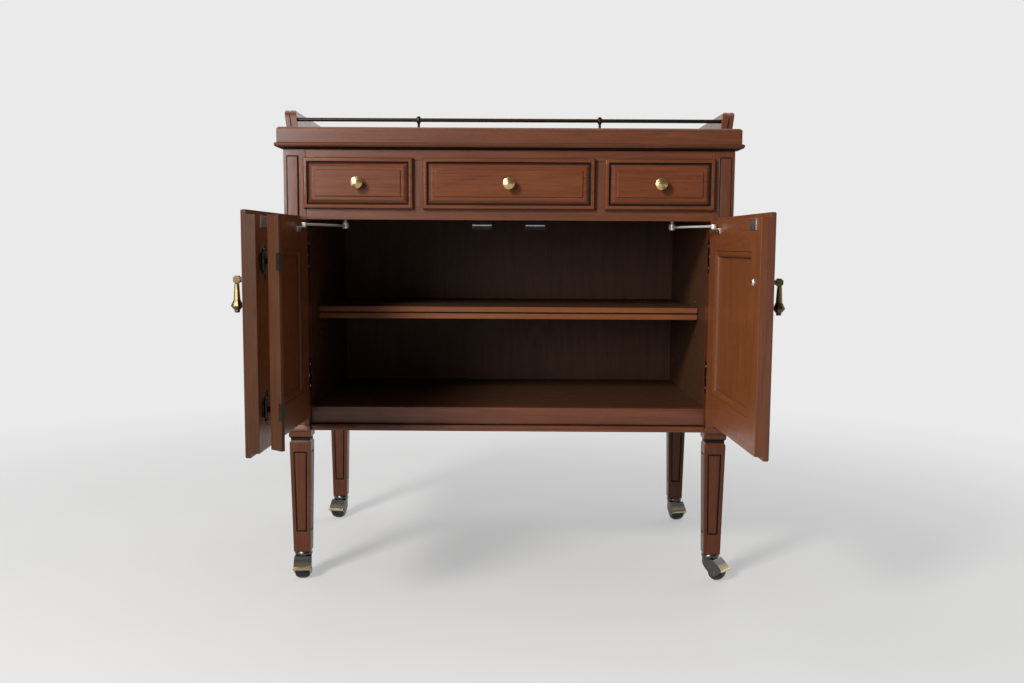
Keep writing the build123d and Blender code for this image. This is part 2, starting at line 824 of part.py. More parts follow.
def door_frame_and_panel():
    """Make the closed right door: two stiles, two rails and the panel that they hold."""
    leaf = block((door_meeting_x, door_edge_x), (door_step_y, door_inner_y), (door_bottom, door_top))
    lip_width = door_lip_x - door_meeting_x
    lip_height = door_top - door_bottom + 2 * door_lip_ends
    lip = eased_plate(lip_width, lip_height, door_lip_thickness, door_lip_round)
    lip_middle = ((door_meeting_x + door_lip_x) / 2, door_step_y, (door_bottom + door_top) / 2)
    lip = Pos(*lip_middle) * Rot(90, 0, 0) * lip
    whole = leaf + lip
    sight_x = (door_meeting_x + meeting_stile_width, door_edge_x - hinge_stile_width)
    sight_z = (door_bottom + door_rail_width, door_top - door_rail_width)
    width = sight_x[1] - sight_x[0]
    height = sight_z[1] - sight_z[0]
    middle = ((sight_x[0] + sight_x[1]) / 2, (sight_z[0] + sight_z[1]) / 2)
    whole -= block(sight_x, (door_outer_y, door_inner_y), sight_z)

    # The moulding inside steps down from the frame, then rounds over to the panel
    step_y = door_inner_y - door_moulding_step
    outset = door_moulding_width
    whole -= block(
        (sight_x[0] - outset, sight_x[1] + outset),
        (step_y, door_inner_y),
        (sight_z[0] - outset, sight_z[1] + outset),
    )
    run = 0.0
    depth = door_moulding_round
    for step in range(round_steps):
        angle = math.pi / 2 * (step + 1) / round_steps
        wider = door_moulding_round * (1 - math.cos(angle))
        higher = door_moulding_round * (1 - math.sin(angle))
        splay = field(width + 2 * wider, height + 2 * wider, wider - run, depth - higher)
        whole -= Pos(middle[0], step_y - higher, middle[1]) * Rot(90, 0, 0) * splay
        run = wider
        depth = higher

    # Outside, a bevel slopes from the frame to the raised panel
    spread = 2 * door_outer_bevel
    splay = field(width + spread, height + spread, door_outer_bevel, door_outer_bevel)
    whole -= Pos(middle[0], door_outer_y, middle[1]) * Rot(-90, 0, 0) * splay

    everything_y = (door_outer_y, door_inner_y)
    everything_z = (door_bottom - door_lip_ends, door_top + door_lip_ends)
    members = [
        whole & block((door_meeting_x, sight_x[0]), everything_y, everything_z),
        whole & block((sight_x[1], door_lip_x), everything_y, everything_z),
        whole & block(sight_x, everything_y, everything_z),
    ]
    panel_y = door_outer_y + door_outer_recess
    panel = block(sight_x, (panel_y, panel_y + door_panel_thickness), sight_z)
    margin = 2 * door_field_margin
    raised = field(width - margin, height - margin, door_field_bevel, door_field_rise)
    panel += Pos(middle[0], panel_y, middle[1]) * Rot(90, 0, 0) * raised
    return members, panel


def door_leaf(height):
    """Make the right door's half of a hinge: a leaf on the lip's edge, two outer knuckles and the pin."""
    low = height - hinge_length / 2
    high = height + hinge_length / 2
    gap = hinge_middle_knuckle / 2 + hinge_knuckle_gap
    plate_x = (door_lip_x, door_lip_x + hinge_leaf_thickness)
    plate = block(plate_x, (hinge_y - hinge_web, hinge_y + hinge_web), (low, high))
    leaf = plate + upright(hinge_x, hinge_y, (low, high), hinge_pin_radius)
    for z_range in ((low, height - gap), (height + gap, high)):
        web_y = (hinge_y - hinge_web / 2, hinge_y + hinge_web / 2)
        leaf += block((plate_x[1], hinge_x), web_y, z_range)
        leaf += upright(hinge_x, hinge_y, z_range, hinge_knuckle_radius, small_sides)
    return leaf


def stay_places():
    """Return where the right stay's pin stands on the shut door, and where its guide hangs."""
    pin_back = door_inner_y + stay_standoff - hinge_y
    pin = (hinge_x - math.sqrt(stay_radius**2 - pin_back**2), hinge_y + pin_back)
    guide = (hinge_x - math.sqrt(stay_radius**2 - stay_guide_back**2), hinge_y + stay_guide_back)
    return pin, guide


def open_point(point):
    """Return where a point of the shut right door lies when the door stands open."""
    angle = math.radians(door_open_angle)
    x = point[0] - hinge_x
    y = point[1] - hinge_y
    return (
        hinge_x + x * math.cos(angle) - y * math.sin(angle),
        hinge_y + x * math.sin(angle) + y * math.cos(angle),
    )


def stay_bracket():
    """Make the angle bracket on the shut right door that carries the stay's pin."""
    (pin_x, pin_y), _ = stay_places()
    eye_low = stay_z - stay_eye_height / 2
    ledge_z = (eye_low - stay_pin_play - stay_bracket_thickness, eye_low - stay_pin_play)
    half = stay_bracket_length / 2
    plate = block(
        (pin_x - half, pin_x + half),
        (door_inner_y, door_inner_y + stay_bracket_thickness),
        (ledge_z[1] - stay_bracket_height, ledge_z[1]),
    )
    ledge = block((pin_x - stay_eye_radius, pin_x + stay_eye_radius), (door_inner_y, pin_y), ledge_z)
    ledge += upright(pin_x, pin_y, ledge_z, stay_eye_radius, small_sides)
    return plate + ledge + upright(pin_x, pin_y, (ledge_z[0], stay_z + stay_eye_height / 2), stay_pin_radius)


def stay_rod():
    """Make the right stay's rod as it lies with the door open: an eye on the pin and a rod to the guide."""
    pin, guide = stay_places()
    start = open_point(pin)
    reach = math.dist(start, guide) + guide_eye_radius + stay_rod_tail
    heading = math.degrees(math.atan2(guide[1] - start[1], guide[0] - start[0]))
    eye = bar(stay_eye_radius, stay_eye_height, small_sides)
    rod = eye + lengthwise((0, reach), 0, 0, stay_rod_radius, small_sides)
    rod += lengthwise((reach - stay_stop_length, reach), 0, 0, stay_stop_radius, hole_sides)
    rod -= bar(stay_pin_radius + stay_pin_play, stay_eye_height, hole_sides)
    return Pos(start[0], start[1], stay_z) * Rot(0, 0, heading) * rod


def stay_guide():
    """Make the swivelling guide under the dust board that the right stay's rod slides through."""
    pin, guide = stay_places()
    start = open_point(pin)
    heading = math.degrees(math.atan2(guide[1] - start[1], guide[0] - start[0]))
    rise = dust_underside - stay_z
    body = turned(
        [
            (guide_eye_radius, -guide_eye_radius),
            (guide_eye_radius, guide_eye_radius),
            (guide_stem_radius, guide_eye_radius + guide_stem_radius),
        ],
        small_sides,
    )
    body += upright(0, 0, (0, rise), guide_stem_radius)
    body += upright(0, 0, (rise - guide_plate_thickness, rise), guide_plate_radius, small_sides)
    hole_radius = stay_rod_radius + guide_hole_play
    body -= lengthwise((-guide_plate_radius, guide_plate_radius), 0, 0, hole_radius, small_sides)
    return Pos(guide[0], guide[1], stay_z) * Rot(0, 0, heading) * body


def pull_mount():
    """Make the pull's mount on the shut right door: a rosette, a stem and a forked head with its pin."""
    pivot_y = door_outer_y - pull_standoff
    x = door_meeting_x + pull_inset
    half = pull_head_width / 2
    head_y = (pivot_y - pull_head_front, pivot_y + pull_head_back)
    head_z = (pull_height - pull_head_height / 2, pull_height + pull_head_height / 2)
    rosette_y = (door_outer_y - pull_rosette_thickness, door_outer_y)
    mount = crosswise(x, rosette_y, pull_height, pull_rosette_radius, pull_sides)
    mount += crosswise(x, (head_y[1], door_outer_y), pull_height, pull_stem_radius, pull_sides)
    mount += crosswise(x, (door_outer_y, door_inner_y), pull_height, pull_bolt_radius, small_sides)
    head = block((x - half, x + half), head_y, head_z)
    head = chamfer(head.edges().filter_by(Axis.X), pull_head_chamfer)
    slot = pull_slot / 2 + pull_slot_play
    slot_y = (head_y[0], pivot_y + pull_eye_radius + pull_slot_play)
    mount += head - block((x - slot, x + slot), slot_y, head_z)
    return mount + lengthwise((x - half, x + half), pivot_y, pull_height, pull_pin_radius)


def pull_drop():
    """Make the hanging grip of the pull: an eye on a tongue and a faceted grip that flares above its tip."""
    pivot_y = door_outer_y - pull_standoff
    x = door_meeting_x + pull_inset
    half = pull_slot / 2
    thick = pull_tongue_thickness / 2
    drop = turned(
        [
            (pull_end_radius, -pull_length),
            (pull_tip_radius, -pull_tip_drop),
            (pull_waist_radius, -pull_waist_drop),
            (pull_flare_radius, -pull_flare_drop - pull_flare_ridge),
            (pull_flare_radius, -pull_flare_drop),
            (pull_grip_radius, -pull_grip_drop),
            (pull_grip_top_radius, -pull_grip_top_drop),
        ],
        pull_sides,
    )
    drop += block((-half, half), (-thick, thick), (-pull_grip_top_drop, 0))
    drop += lengthwise((-half, half), 0, 0, pull_eye_radius, small_sides)
    drop -= lengthwise((-half, half), 0, 0, pull_pin_radius + pull_pin_play, hole_sides)
    return Pos(x, pivot_y, pull_height) * drop


def strike_plate():
    """Make the strike at the top of the shut right door's inner face."""
    high = door_top - strike_top_gap
    return block(
        (catch_middle - catch_width / 2, catch_middle + catch_width / 2),
        (door_inner_y, door_inner_y + strike_thickness),
        (high - strike_height, high),
    )


def strip_axis():
    """Return the meeting strip's hinge axis, on the shut door drawn right-handed."""
    x = door_meeting_x + strip_axis_inset
    y = door_inner_y + strip_standoff + strip_thickness + strip_leaf_thickness - strip_knuckle_radius
    return x, y


def strip_parts():
    """Make the strip, its half of each hinge and the door's half, flush on the shut right-hand door."""
    axis_x, axis_y = strip_axis()
    near = door_meeting_x + strip_overlap
    far = near - strip_width
    low_y = door_inner_y + strip_standoff
    high_y = low_y + strip_thickness
    strip_z = (door_bottom + strip_bottom_gap, door_top - strip_top_gap)
    strip = block((far, near), (low_y, high_y), strip_z)
    leaf_y = (high_y, high_y + strip_leaf_thickness)
    strip_leaves = []
    door_leaves = []
    for height in (strip_hinge_upper, strip_hinge_lower):
        half = strip_knuckle_length / 2
        knuckle_z = (height - half, height + half)
        inner_half = strip_middle_knuckle / 2
        middle = (height - inner_half, height + inner_half)
        leaf = block((far - strip_leaf_thickness, axis_x), leaf_y, middle)
        leaf += block((far - strip_leaf_thickness, near), leaf_y, knuckle_z)
        leaf += block((far - strip_leaf_thickness, far), (low_y, high_y), knuckle_z)
        leaf += block(
            (far - strip_leaf_thickness, far + strip_wrap),
            (low_y - strip_leaf_thickness, low_y),
            knuckle_z,
        )
        leaf += upright(axis_x, axis_y, middle, strip_knuckle_radius, small_sides)
        leaf -= upright(axis_x, axis_y, middle, hinge_pin_radius + hinge_pin_play, hole_sides)
        strip_leaves.append(leaf)

        # The door's leaf is waisted like a butterfly and lies flat on the door
        back = axis_x + strip_leaf_width
        tall = strip_hinge_length / 2
        outline = make_face(
            Polyline(
                (axis_x, height - half),
                (axis_x + strip_leaf_waist_inset, height - strip_leaf_waist),
                (back, height - tall),
                (back, height + tall),
                (axis_x + strip_leaf_waist_inset, height + strip_leaf_waist),
                (axis_x, height + half),
                close=True,
            )
        )
        plate = Pos(0, door_inner_y, 0) * extrude(Plane.XZ * outline, -strip_leaf_thickness)
        plate += upright(axis_x, axis_y, knuckle_z, hinge_pin_radius)
        gap = inner_half + hinge_knuckle_gap
        for z_range in ((height - half, height - gap), (height + gap, height + half)):
            plate += block((axis_x, axis_x + strip_knuckle_radius), (door_inner_y, axis_y), z_range)
            plate += upright(axis_x, axis_y, z_range, strip_knuckle_radius, small_sides)
        door_leaves.append(plate)
    return strip, strip_leaves, door_leaves


def make_doors():
    """Make both doors standing open, with their pulls, stays and strikes, and the left door's strip."""

    def open_right(solid):
        return spin(solid, hinge_x, hinge_y, door_open_angle)

    members, panel = door_frame_and_panel()
    leaves = [door_leaf(height) for height in (hinge_upper_height, hinge_lower_height)]
    bolt_y = (door_outer_y, door_inner_y)
    bore = crosswise(door_meeting_x + pull_inset, bolt_y, pull_height, pull_bolt_radius, small_sides)
    members[0] -= bore
    strip, strip_leaves, strip_door_leaves = strip_parts()
    for side, place in (("right", lambda solid: solid), ("left", flip)):
        hinge_leaves = leaves if side == "right" else leaves + strip_door_leaves
        save(f"{side}_door_frame", *[place(open_right(piece)) for piece in members])
        save(f"{side}_door_panel", place(open_right(panel)))
        save(f"{side}_door_hinge_leaves", *[place(open_right(piece)) for piece in hinge_leaves])
        plates = (strike_plate(), stay_bracket())
        save(f"{side}_door_plates", *[place(open_right(piece)) for piece in plates])
        save(f"{side}_stay_rod", place(stay_rod()))
        save(f"{side}_stay_guide", place(stay_guide()))
        save(f"{side}_pull_mount", place(open_right(pull_mount())))
        save(f"{side}_pull_drop", place(open_right(pull_drop())))

    axis_x, axis_y = strip_axis()

    def swung(solid):
        return flip(open_right(spin(solid, axis_x, axis_y, -strip_open_angle)))

    save("meeting_strip", swung(strip))
    save("strip_hinge_leaves", *[swung(piece) for piece in strip_leaves])


def make_catches():
    """Make the two catches under the dust board that hold the shut doors."""
    start = door_inner_y + strike_thickness + catch_gap
    x_range = (catch_middle - catch_width / 2, catch_middle + catch_width / 2)
    catch = block(x_range, (start, start + catch_depth), (opening_top - catch_drop, opening_top))
    catch += block(x_range, (front_y + rail_thickness, start + catch_depth), (opening_top, dust_underside))
    save("door_catches", *both_sides(catch))


def castor_wheel():
    """Make the ball wheel round X: a narrow tread between two domes cut flat at the cheeks."""
    dome = []
    for step in range(castor_ball_steps + 1):
        out = (castor_ball_flat - castor_ball_tread) * step / castor_ball_steps
        dome.append((math.sqrt(castor_ball_radius**2 - out**2), castor_ball_tread + out))
    profile = [(radius, -height) for radius, height in reversed(dome)] + dome
    wheel = turned(profile, turned_sides)
    bore = bar(castor_axle_radius + castor_axle_play, 2 * castor_ball_flat, hole_sides)
    return Rot(0, 90, 0) * (wheel - bore)


def castor_hood():
    """Make the hood round the ball: a curved cover, two flat cheeks, a neck, the axle and the stem."""
    room = castor_ball_radius + castor_hood_gap
    cover = room + castor_hood_wall
    inside = castor_ball_flat + castor_cheek_gap
    half = inside + castor_cheek_wall
    neck_top = castor_height - castor_cup_height - castor_cup_gap - castor_ball_radius
    neck_y = (castor_trail - castor_neck_radius, castor_trail + castor_neck_radius)
    rim_angle = math.asin(castor_rim_lift / cover)

    # The side view wraps the cover, the axle end and the neck; the plan wraps the cheeks and the neck
    cover_points = []
    for step in range(castor_cover_steps + 1):
        angle = rim_angle + (math.pi / 2 - rim_angle) * step / castor_cover_steps
        cover_points.append((-cover * math.cos(angle), cover * math.sin(angle)))
    side_view = make_hull(
        [
            *Polyline(*cover_points).edges(),
            *ring(castor_cheek_end, small_sides).edges(),
            Line((neck_y[0], neck_top), (neck_y[1], neck_top)),
            Line((neck_y[1], neck_top - castor_neck_height), (neck_y[1], neck_top)),
        ]
    )
    plan = make_hull(
        [
            *(Pos(0, castor_trail) * ring(castor_neck_radius, turned_sides)).edges(),
            Line((-half, -cover), (half, -cover)),
            Line((-half, 0), (half, 0)),
        ]
    )
    hood = extrude(Plane.YZ * side_view, half, both=True)
    hood &= Pos(0, 0, -castor_cheek_end) * extrude(plan, neck_top + castor_cheek_end)
    hood -= lengthwise((-inside, inside), 0, 0, room, turned_sides)
    rim_y = -(room + castor_rim_reach) * math.cos(rim_angle)
    rim_z = (room + castor_rim_reach) * math.sin(rim_angle)
    rim_end = half + castor_rim_radius
    hood += lengthwise((-rim_end, rim_end), rim_y, rim_z, castor_rim_radius, hole_sides)
    axle_end = inside + castor_cheek_wall / 2
    hood += lengthwise((-axle_end, axle_end), 0, 0, castor_axle_radius)
    head_end = half + castor_axle_head
    for ends in ((-head_end, -axle_end), (axle_end, head_end)):
        hood += lengthwise(ends, 0, 0, castor_axle_head_radius, hole_sides)
    stem_top = castor_height + castor_stem_rise - castor_ball_radius
    return hood + upright(0, castor_trail, (neck_top, stem_top), castor_stem_radius)


def make_castors():
    """Make the four castors: a ring cup under the leg, a swivelling hood and a ball wheel."""
    cup_z = (castor_height - castor_cup_height, castor_height)
    cup_middle = sum(cup_z) / 2
    cup = turned(
        [
            (castor_cup_foot_radius, cup_z[0]),
            (castor_cup_radius, cup_middle - castor_cup_band / 2),
            (castor_cup_radius, cup_middle + castor_cup_band / 2),
            (castor_cup_seat_radius, cup_z[1]),
        ],
        turned_sides,
    )
    cup -= upright(0, 0, cup_z, castor_stem_radius + castor_stem_play, hole_sides)
    save("castor_cups", *four_corners(Pos(leg_mid_x, leg_mid_y, 0) * cup))
    hood = castor_hood()
    wheel = castor_wheel()
    for name, turn in castor_turns.items():
        x = leg_mid_x if name.endswith("right") else -leg_mid_x
        y = -leg_mid_y if name.startswith("front") else leg_mid_y
        place = Pos(x, y, castor_ball_radius) * Rot(0, 0, turn) * Pos(0, -castor_trail, 0)
        save(f"{name}_castor_hood", place * hood)
        save(f"{name}_castor_wheel", place * wheel)


def main():
    """Write every sub-part."""
    os.makedirs("parts", exist_ok=True)
    make_top()
    make_carcass()
    make_base()
    make_legs()
    make_shelf()
    make_drawers()
    make_doors()
    make_catches()
    make_castors()


main()
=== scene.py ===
import math

import bmesh
import bpy
from mathutils import Matrix, Vector


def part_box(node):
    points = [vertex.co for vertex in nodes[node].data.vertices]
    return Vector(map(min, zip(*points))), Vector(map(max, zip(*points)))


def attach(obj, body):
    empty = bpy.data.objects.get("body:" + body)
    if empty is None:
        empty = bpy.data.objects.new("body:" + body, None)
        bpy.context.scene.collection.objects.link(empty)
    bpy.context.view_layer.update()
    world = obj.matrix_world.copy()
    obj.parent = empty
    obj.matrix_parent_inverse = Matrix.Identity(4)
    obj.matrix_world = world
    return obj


# The looks of a wooden serving trolley: wood finishes, brass, bronze and nickel hardware and the studio.
# Metres, in the part's own frame: the floor is z = 0 and the front faces -Y.

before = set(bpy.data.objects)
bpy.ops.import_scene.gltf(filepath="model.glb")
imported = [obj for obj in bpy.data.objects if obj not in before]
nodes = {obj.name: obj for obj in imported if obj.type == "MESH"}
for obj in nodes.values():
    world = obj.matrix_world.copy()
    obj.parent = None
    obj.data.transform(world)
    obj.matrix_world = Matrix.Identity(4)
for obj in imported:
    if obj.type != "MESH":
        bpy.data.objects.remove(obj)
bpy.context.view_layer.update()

SIDES = (-1, 1)
DRAWERS = ("left", "centre", "right")

# Camera, as the photograph was taken
CAMERA_PLACE = (0.0039, -2.1579, 0.5858)
CAMERA_PITCH = 6.45
CAMERA_YAW = -0.32
CAMERA_ROLL = -0.31
CAMERA_LENS = 39.29
CAMERA_SHIFT = (0.0080, 0.0295)
CAMERA_SENSOR = 36.0
CAMERA_NEAR = 0.05

# Edge rounding, and the steepest step between the flats of a round piece
WOOD_EDGE = 0.0007
METAL_EDGE = 0.00025
PIECE_EDGE = 0.00008
WELD_DISTANCE = 0.00001
SMOOTH_ANGLE = 32
FEW_FLATS_ANGLE = 50

# Wood tones, light and dark of each finish
CASE_TONES = ((0.178, 0.052, 0.0175), (0.089, 0.025, 0.0085))
DRAWER_TONES = ((0.205, 0.058, 0.0190), (0.103, 0.028, 0.0090))
# Leg tone, darker than the case: partly the wood's own tone, partly painted shade on the legs, which get less
# light near the floor; the cornice moulding shares it
LEG_AND_SHADE_TONES = ((0.135, 0.038, 0.0125), (0.068, 0.0185, 0.0060))
# Darker copy of the case wood for the left door's free edge and the meeting strip: painted shade
SHADED_EDGE_TONES = ((0.105, 0.041, 0.019), (0.058, 0.023, 0.011))
INNER_TONES = ((0.270, 0.085, 0.026), (0.160, 0.048, 0.0150))
# Darker wood inside the cabinet: painted shade where less light reaches
SHADED_INSIDE_TONES = ((0.110, 0.046, 0.021), (0.060, 0.025, 0.012))
BOX_TONES = ((0.55, 0.36, 0.19), (0.42, 0.25, 0.12))
# Near-black wood for the legs' glazed necks and lines and for faces painted dark as shade in grooves, coves
# and ledges
GLAZE_AND_SHADE_TONES = ((0.019, 0.010, 0.008), (0.009, 0.005, 0.004))
# Near-black colour that grooves darken towards: dark glaze together with painted shade
GROOVE_GLAZE_AND_SHADE = (0.010, 0.006, 0.005)

# Wood pattern: repeats per metre across and along the grain, and how much each part shows
FIGURE = (16.0, 1.3)
FIBRE = (420.0, 9.0)
PORES = (1500.0, 55.0)
RINGS = 17.0
FIGURE_SHARE = 0.34
FIBRE_SHARE = 0.66
CLOUD_SHARE = 0.30
PORE_SHARE = 0.55
COAT_ROUGHNESS = 0.20

# Wear and painted light: how far from an edge a finish is rubbed (on wood lightened partly as a painted
# highlight), how far into a groove the darkening reaches (on wood dark glaze with painted shade, on metal
# tarnish), and how much shows
RUBBED_WOOD = 0.0014
RUBBED_METAL = 0.0007
WOOD_GROOVE = 0.007
METAL_GROOVE = 0.004
METAL_WEAR = 0.8
RUBBED_RANGE = (0.03, 0.25)

# Metal scratches per metre across and along, plastic black and dust, and where most of a noise's values lie
SCRATCHES = (2600.0, 160.0)
PLASTIC = (0.010, 0.010, 0.011)
DUST = (0.09, 0.085, 0.08)
NOISE_RANGE = (0.3, 0.7)

# Surroundings: the background that is seen, the floor's tones and where the floor fades into the background
PALE = (0.82, 0.82, 0.82)
FLOOR_TONES = ((0.73, 0.73, 0.73), (0.76, 0.76, 0.76))
FLOOR_BOUNCE = (0.34, 0.33, 0.32)
FLOOR_HALF = 30.0
FLOOR_FADE = (0.4, 2.2)
FLOOR_NEAR_FADE = 0.45
WORLD_LIGHT = (0.82, 0.83, 0.85)
WORLD_STRENGTH = 0.20
MIRROR_FADE = (-0.5, 0.4)

# Lamps: place, target, size, power and colour
LAMPS = {
    "key": ((-1.55, -2.55, 1.92), (0.0, -0.1, 0.5), 0.6, 81.0, (1.0, 0.97, 0.94)),
    "sheen": ((-1.40, -3.2, 1.0), (-0.4, 0.0, 0.6), 0.9, 28.0, (0.96, 0.98, 1.0)),
    "top": ((-0.3, 0.4, 2.9), (0.0, 0.0, 0.8), 2.0, 16.0, (1.0, 1.0, 1.0)),
    "back": ((1.7, 2.6, 1.7), (0.0, 0.2, 0.45), 3.0, 34.0, (1.0, 0.99, 0.97)),
}

# How one face is told from another: a small distance, and how squarely it looks along an axis
SLIVER = 0.0003
SQUARE = 0.9
EASED = 0.8
SLANTED = 0.3
UPRIGHT = 0.1

# Places on the cabinet
FRONT_Y = -0.2418
POST_IN_X = 0.3441
BACK_PANEL_Y = 0.2122
CORNICE_COVE = (0.7456, 0.7499)
BASE_TOP = 0.2743
SHELF_FRONT = -0.1338
GALLERY_END = 0.2227
GALLERY_GROOVE = ((0.3708, 0.7821), (0.3734, 0.8022))
# Width and thickness of the near-black strips that paint the shade in the gallery ears' grooves
GALLERY_SHADE_LINE = (0.0018, 0.0002)
SHELF_GROOVE = 0.003
PIN_ROWS = (-0.0998, 0.1642)
SPARE_PIN_HEIGHTS = (0.4837, 0.4239)
SOCKET = (
    (0.0, -0.0002), (0.0038, -0.0002), (0.0038, 0.0003), (0.0033, 0.0006), (0.0026, 0.0004),
    (0.0, 0.0001),
)
BACK_PIN_X = 0.3351
BACK_PIN_HEIGHTS = tuple(0.355 + 0.060 * step for step in range(6))
BACK_PIN = ((0.0, -0.0003), (0.0022, -0.0003), (0.0022, 0.0003), (0.0014, 0.0007), (0.0, 0.0009))
BACK_PIN_SIDES = 10
CATCH_PLATE = (0.033, 0.0020, 0.00035)
CATCH_PLATE_RISE = 0.0072
PLATE_EASE = 0.0001
DRAWER_FACE = -0.2517
DRAWER_GROOVE = 0.0032
FIELD_INSET = 0.0208
FIELD_RELIEF = 0.0020
FIELD_EASE = 0.0008
PILASTER_RELIEF = 0.0024

# Places on a leg, its low and high ends as (height, half width)
LEG_PLACE = (0.3610, 0.2211)
LEG_LOW = (0.0465, 0.0146)
LEG_HIGH = (0.2414, 0.01845)
LEG_NECK = (0.2456, 0.2532)
LEG_LINE = (0.0820, 0.2265)

# Places on the shut right door, and how far it stands open
HINGE = (0.3560, -0.24635, 0.0)
HINGE_HEIGHTS = (0.5680, 0.3600)
DOOR_TURN = 91.7
DOOR_INNER_Y = -0.2293
DOOR_INSIDE = (0, 1, 0)
PULL_PLACE = (0.0360, 0.5355)
PULL_GRIP = (-0.0290, -0.0070)
NUT = (
    (0.0, 0.0), (0.0052, 0.0), (0.0052, 0.0006), (0.0046, 0.0010), (0.0044, 0.0016),
    (0.0036, 0.0026), (0.0020, 0.0033), (0.0, 0.0036),
)
STRIKE_PLACE = (0.0455, 0.6174)
STAY_PLATE_PLACE = (0.27213, 0.6105)
STRIP_AXIS = (0.0205, -0.2237, 0.0)
STRIP_TURN = -50.0
STRIP_HINGE_HEIGHTS = (0.5620, 0.3520)
STRIP_LEAF_Y = -0.2205
STRIP_MIDDLE_X = -0.0070
FINIAL_RISE = 0.0120
FINIAL = (
    (0.0, -0.0002), (0.0032, -0.0002), (0.0034, 0.0006), (0.0022, 0.0012), (0.0018, 0.0020),
    (0.0027, 0.0030), (0.0030, 0.0041), (0.0026, 0.0052), (0.0014, 0.0060), (0.0008, 0.0068),
    (0.0, 0.0072),
)

# Screws: the radius of each kind's head, and where its heads sit on the leaf or plate
HINGE_SCREW = 0.0027
HINGE_SCREWS = ((0.019, 0.0185), (0.0, 0.0095), (-0.019, 0.0185))
STRIKE_SCREW = 0.0021
STRIKE_SCREWS = (-0.0115, 0.0115)
STRIKE_SCREW_RISE = 0.0025
STRIKE_THICKNESS = 0.0008
STAY_SCREW = 0.0024
STAY_SCREWS = (-0.0090, 0.0090)
STAY_PLATE_THICKNESS = 0.0016
STRIP_SCREW = 0.0020
LEAF_SCREWS = ((0.0360, 0.0145), (0.0445, 0.0210), (0.0360, -0.0145), (0.0445, -0.0210))
LEAF_THICKNESS = 0.0012
STRIP_SCREWS = ((-0.0060, 0.0070), (0.0060, -0.0070))
SCREW_DOME = ((1.0, -0.10), (1.0, 0.07), (0.86, 0.19), (0.45, 0.26))
SCREW_SLOT = 0.17
SCREW_SLOT_TURN = 0.6
SCREW_STEPS = 8

# Castors: the side and end that each stands at and how far its hood is turned
CASTORS = {
    "front_left": (-1, -1, 4.0),
    "front_right": (1, -1, 52.0),
    "back_left": (-1, 1, -14.0),
    "back_right": (1, 1, 16.0),
}
CASTOR_TRAIL = 0.014
HOOD_COVER_START = 0.003
HOOD_CHEEK = 0.6


def add(tree, kind, inputs=None, **settings):
    """Add a shader node, with its settings, and set or link its inputs."""
    node = tree.nodes.new(kind)
    for name, value in settings.items():
        setattr(node, name, value)
    for name, value in (inputs or {}).items():
        if isinstance(value, bpy.types.NodeSocket):
            tree.links.new(value, node.inputs[name])
        else:
            node.inputs[name].default_value = value
    return node


def mixed(tree, factor, low, high):
    """Mix two colours, each a socket or a plain colour."""
    node = add(tree, "ShaderNodeMix", {0: factor}, data_type="RGBA")
    for index, value in ((6, low), (7, high)):
        if isinstance(value, bpy.types.NodeSocket):
            tree.links.new(value, node.inputs[index])
        else:
            node.inputs[index].default_value = (*value, 1.0)
    return node.outputs[2]


def math_node(tree, operation, first, second=0.0, clamp=False):
    """Combine two numbers."""
    node = add(tree, "ShaderNodeMath", {0: first, 1: second}, operation=operation, use_clamp=clamp)
    return node.outputs[0]


def remap(tree, value, low, high, to_low=0.0, to_high=1.0):
    """Stretch a number from one range to another and clamp it."""
    inputs = {"Value": value, "From Min": low, "From Max": high, "To Min": to_low, "To Max": to_high}
    return add(tree, "ShaderNodeMapRange", inputs).outputs["Result"]


def noise(tree, place, scale=1.0, detail=3.0, roughness=0.55, distortion=0.0):
    """Add a noise texture and return its value."""
    inputs = {
        "Vector": place,
        "Scale": scale,
        "Detail": detail,
        "Roughness": roughness,
        "Distortion": distortion,
    }
    return add(tree, "ShaderNodeTexNoise", inputs).outputs[0]


def new_material(name):
    """Start a material: its node tree, its shader and coordinates that are set apart for each piece."""
    material = bpy.data.materials.new(name)
    material.use_nodes = True
    tree = material.node_tree
    shader = tree.nodes["Principled BSDF"]
    coordinates = add(tree, "ShaderNodeTexCoord").outputs["Object"]
    apart = add(tree, "ShaderNodeObjectInfo").outputs["Random"]
    offset = add(tree, "ShaderNodeVectorMath", {0: (7.0, 5.0, 3.0), "Scale": apart}, operation="SCALE")
    place = add(tree, "ShaderNodeVectorMath", {0: coordinates, 1: offset.outputs[0]}, operation="ADD")
    return material, tree, shader, place.outputs[0]


def stretched(tree, place, grain, across, along):
    """Stretch coordinates along the grain."""
    scale = [across, across, across]
    scale["XYZ".index(grain)] = along
    return add(tree, "ShaderNodeMapping", {"Vector": place, "Scale": scale}).outputs[0]


def crevice(tree, distance):
    """Return how hidden a point is in a groove, from 0 in the open to 1."""
    occlusion = add(tree, "ShaderNodeAmbientOcclusion", {"Distance": distance}, samples=8, only_local=True)
    return math_node(tree, "SUBTRACT", 1.0, occlusion.outputs["AO"], clamp=True)


def sharp_edge(tree, radius):
    """Return how near a point is to an edge, from 0 to 1, and the normal of the edge rounded over."""
    rounded = add(tree, "ShaderNodeBevel", {"Radius": radius}, samples=6).outputs[0]
    normal = add(tree, "ShaderNodeNewGeometry").outputs["Normal"]
    alike = add(tree, "ShaderNodeVectorMath", {0: rounded, 1: normal}, operation="DOT_PRODUCT")
    return math_node(tree, "SUBTRACT", 1.0, alike.outputs["Value"], clamp=True), rounded


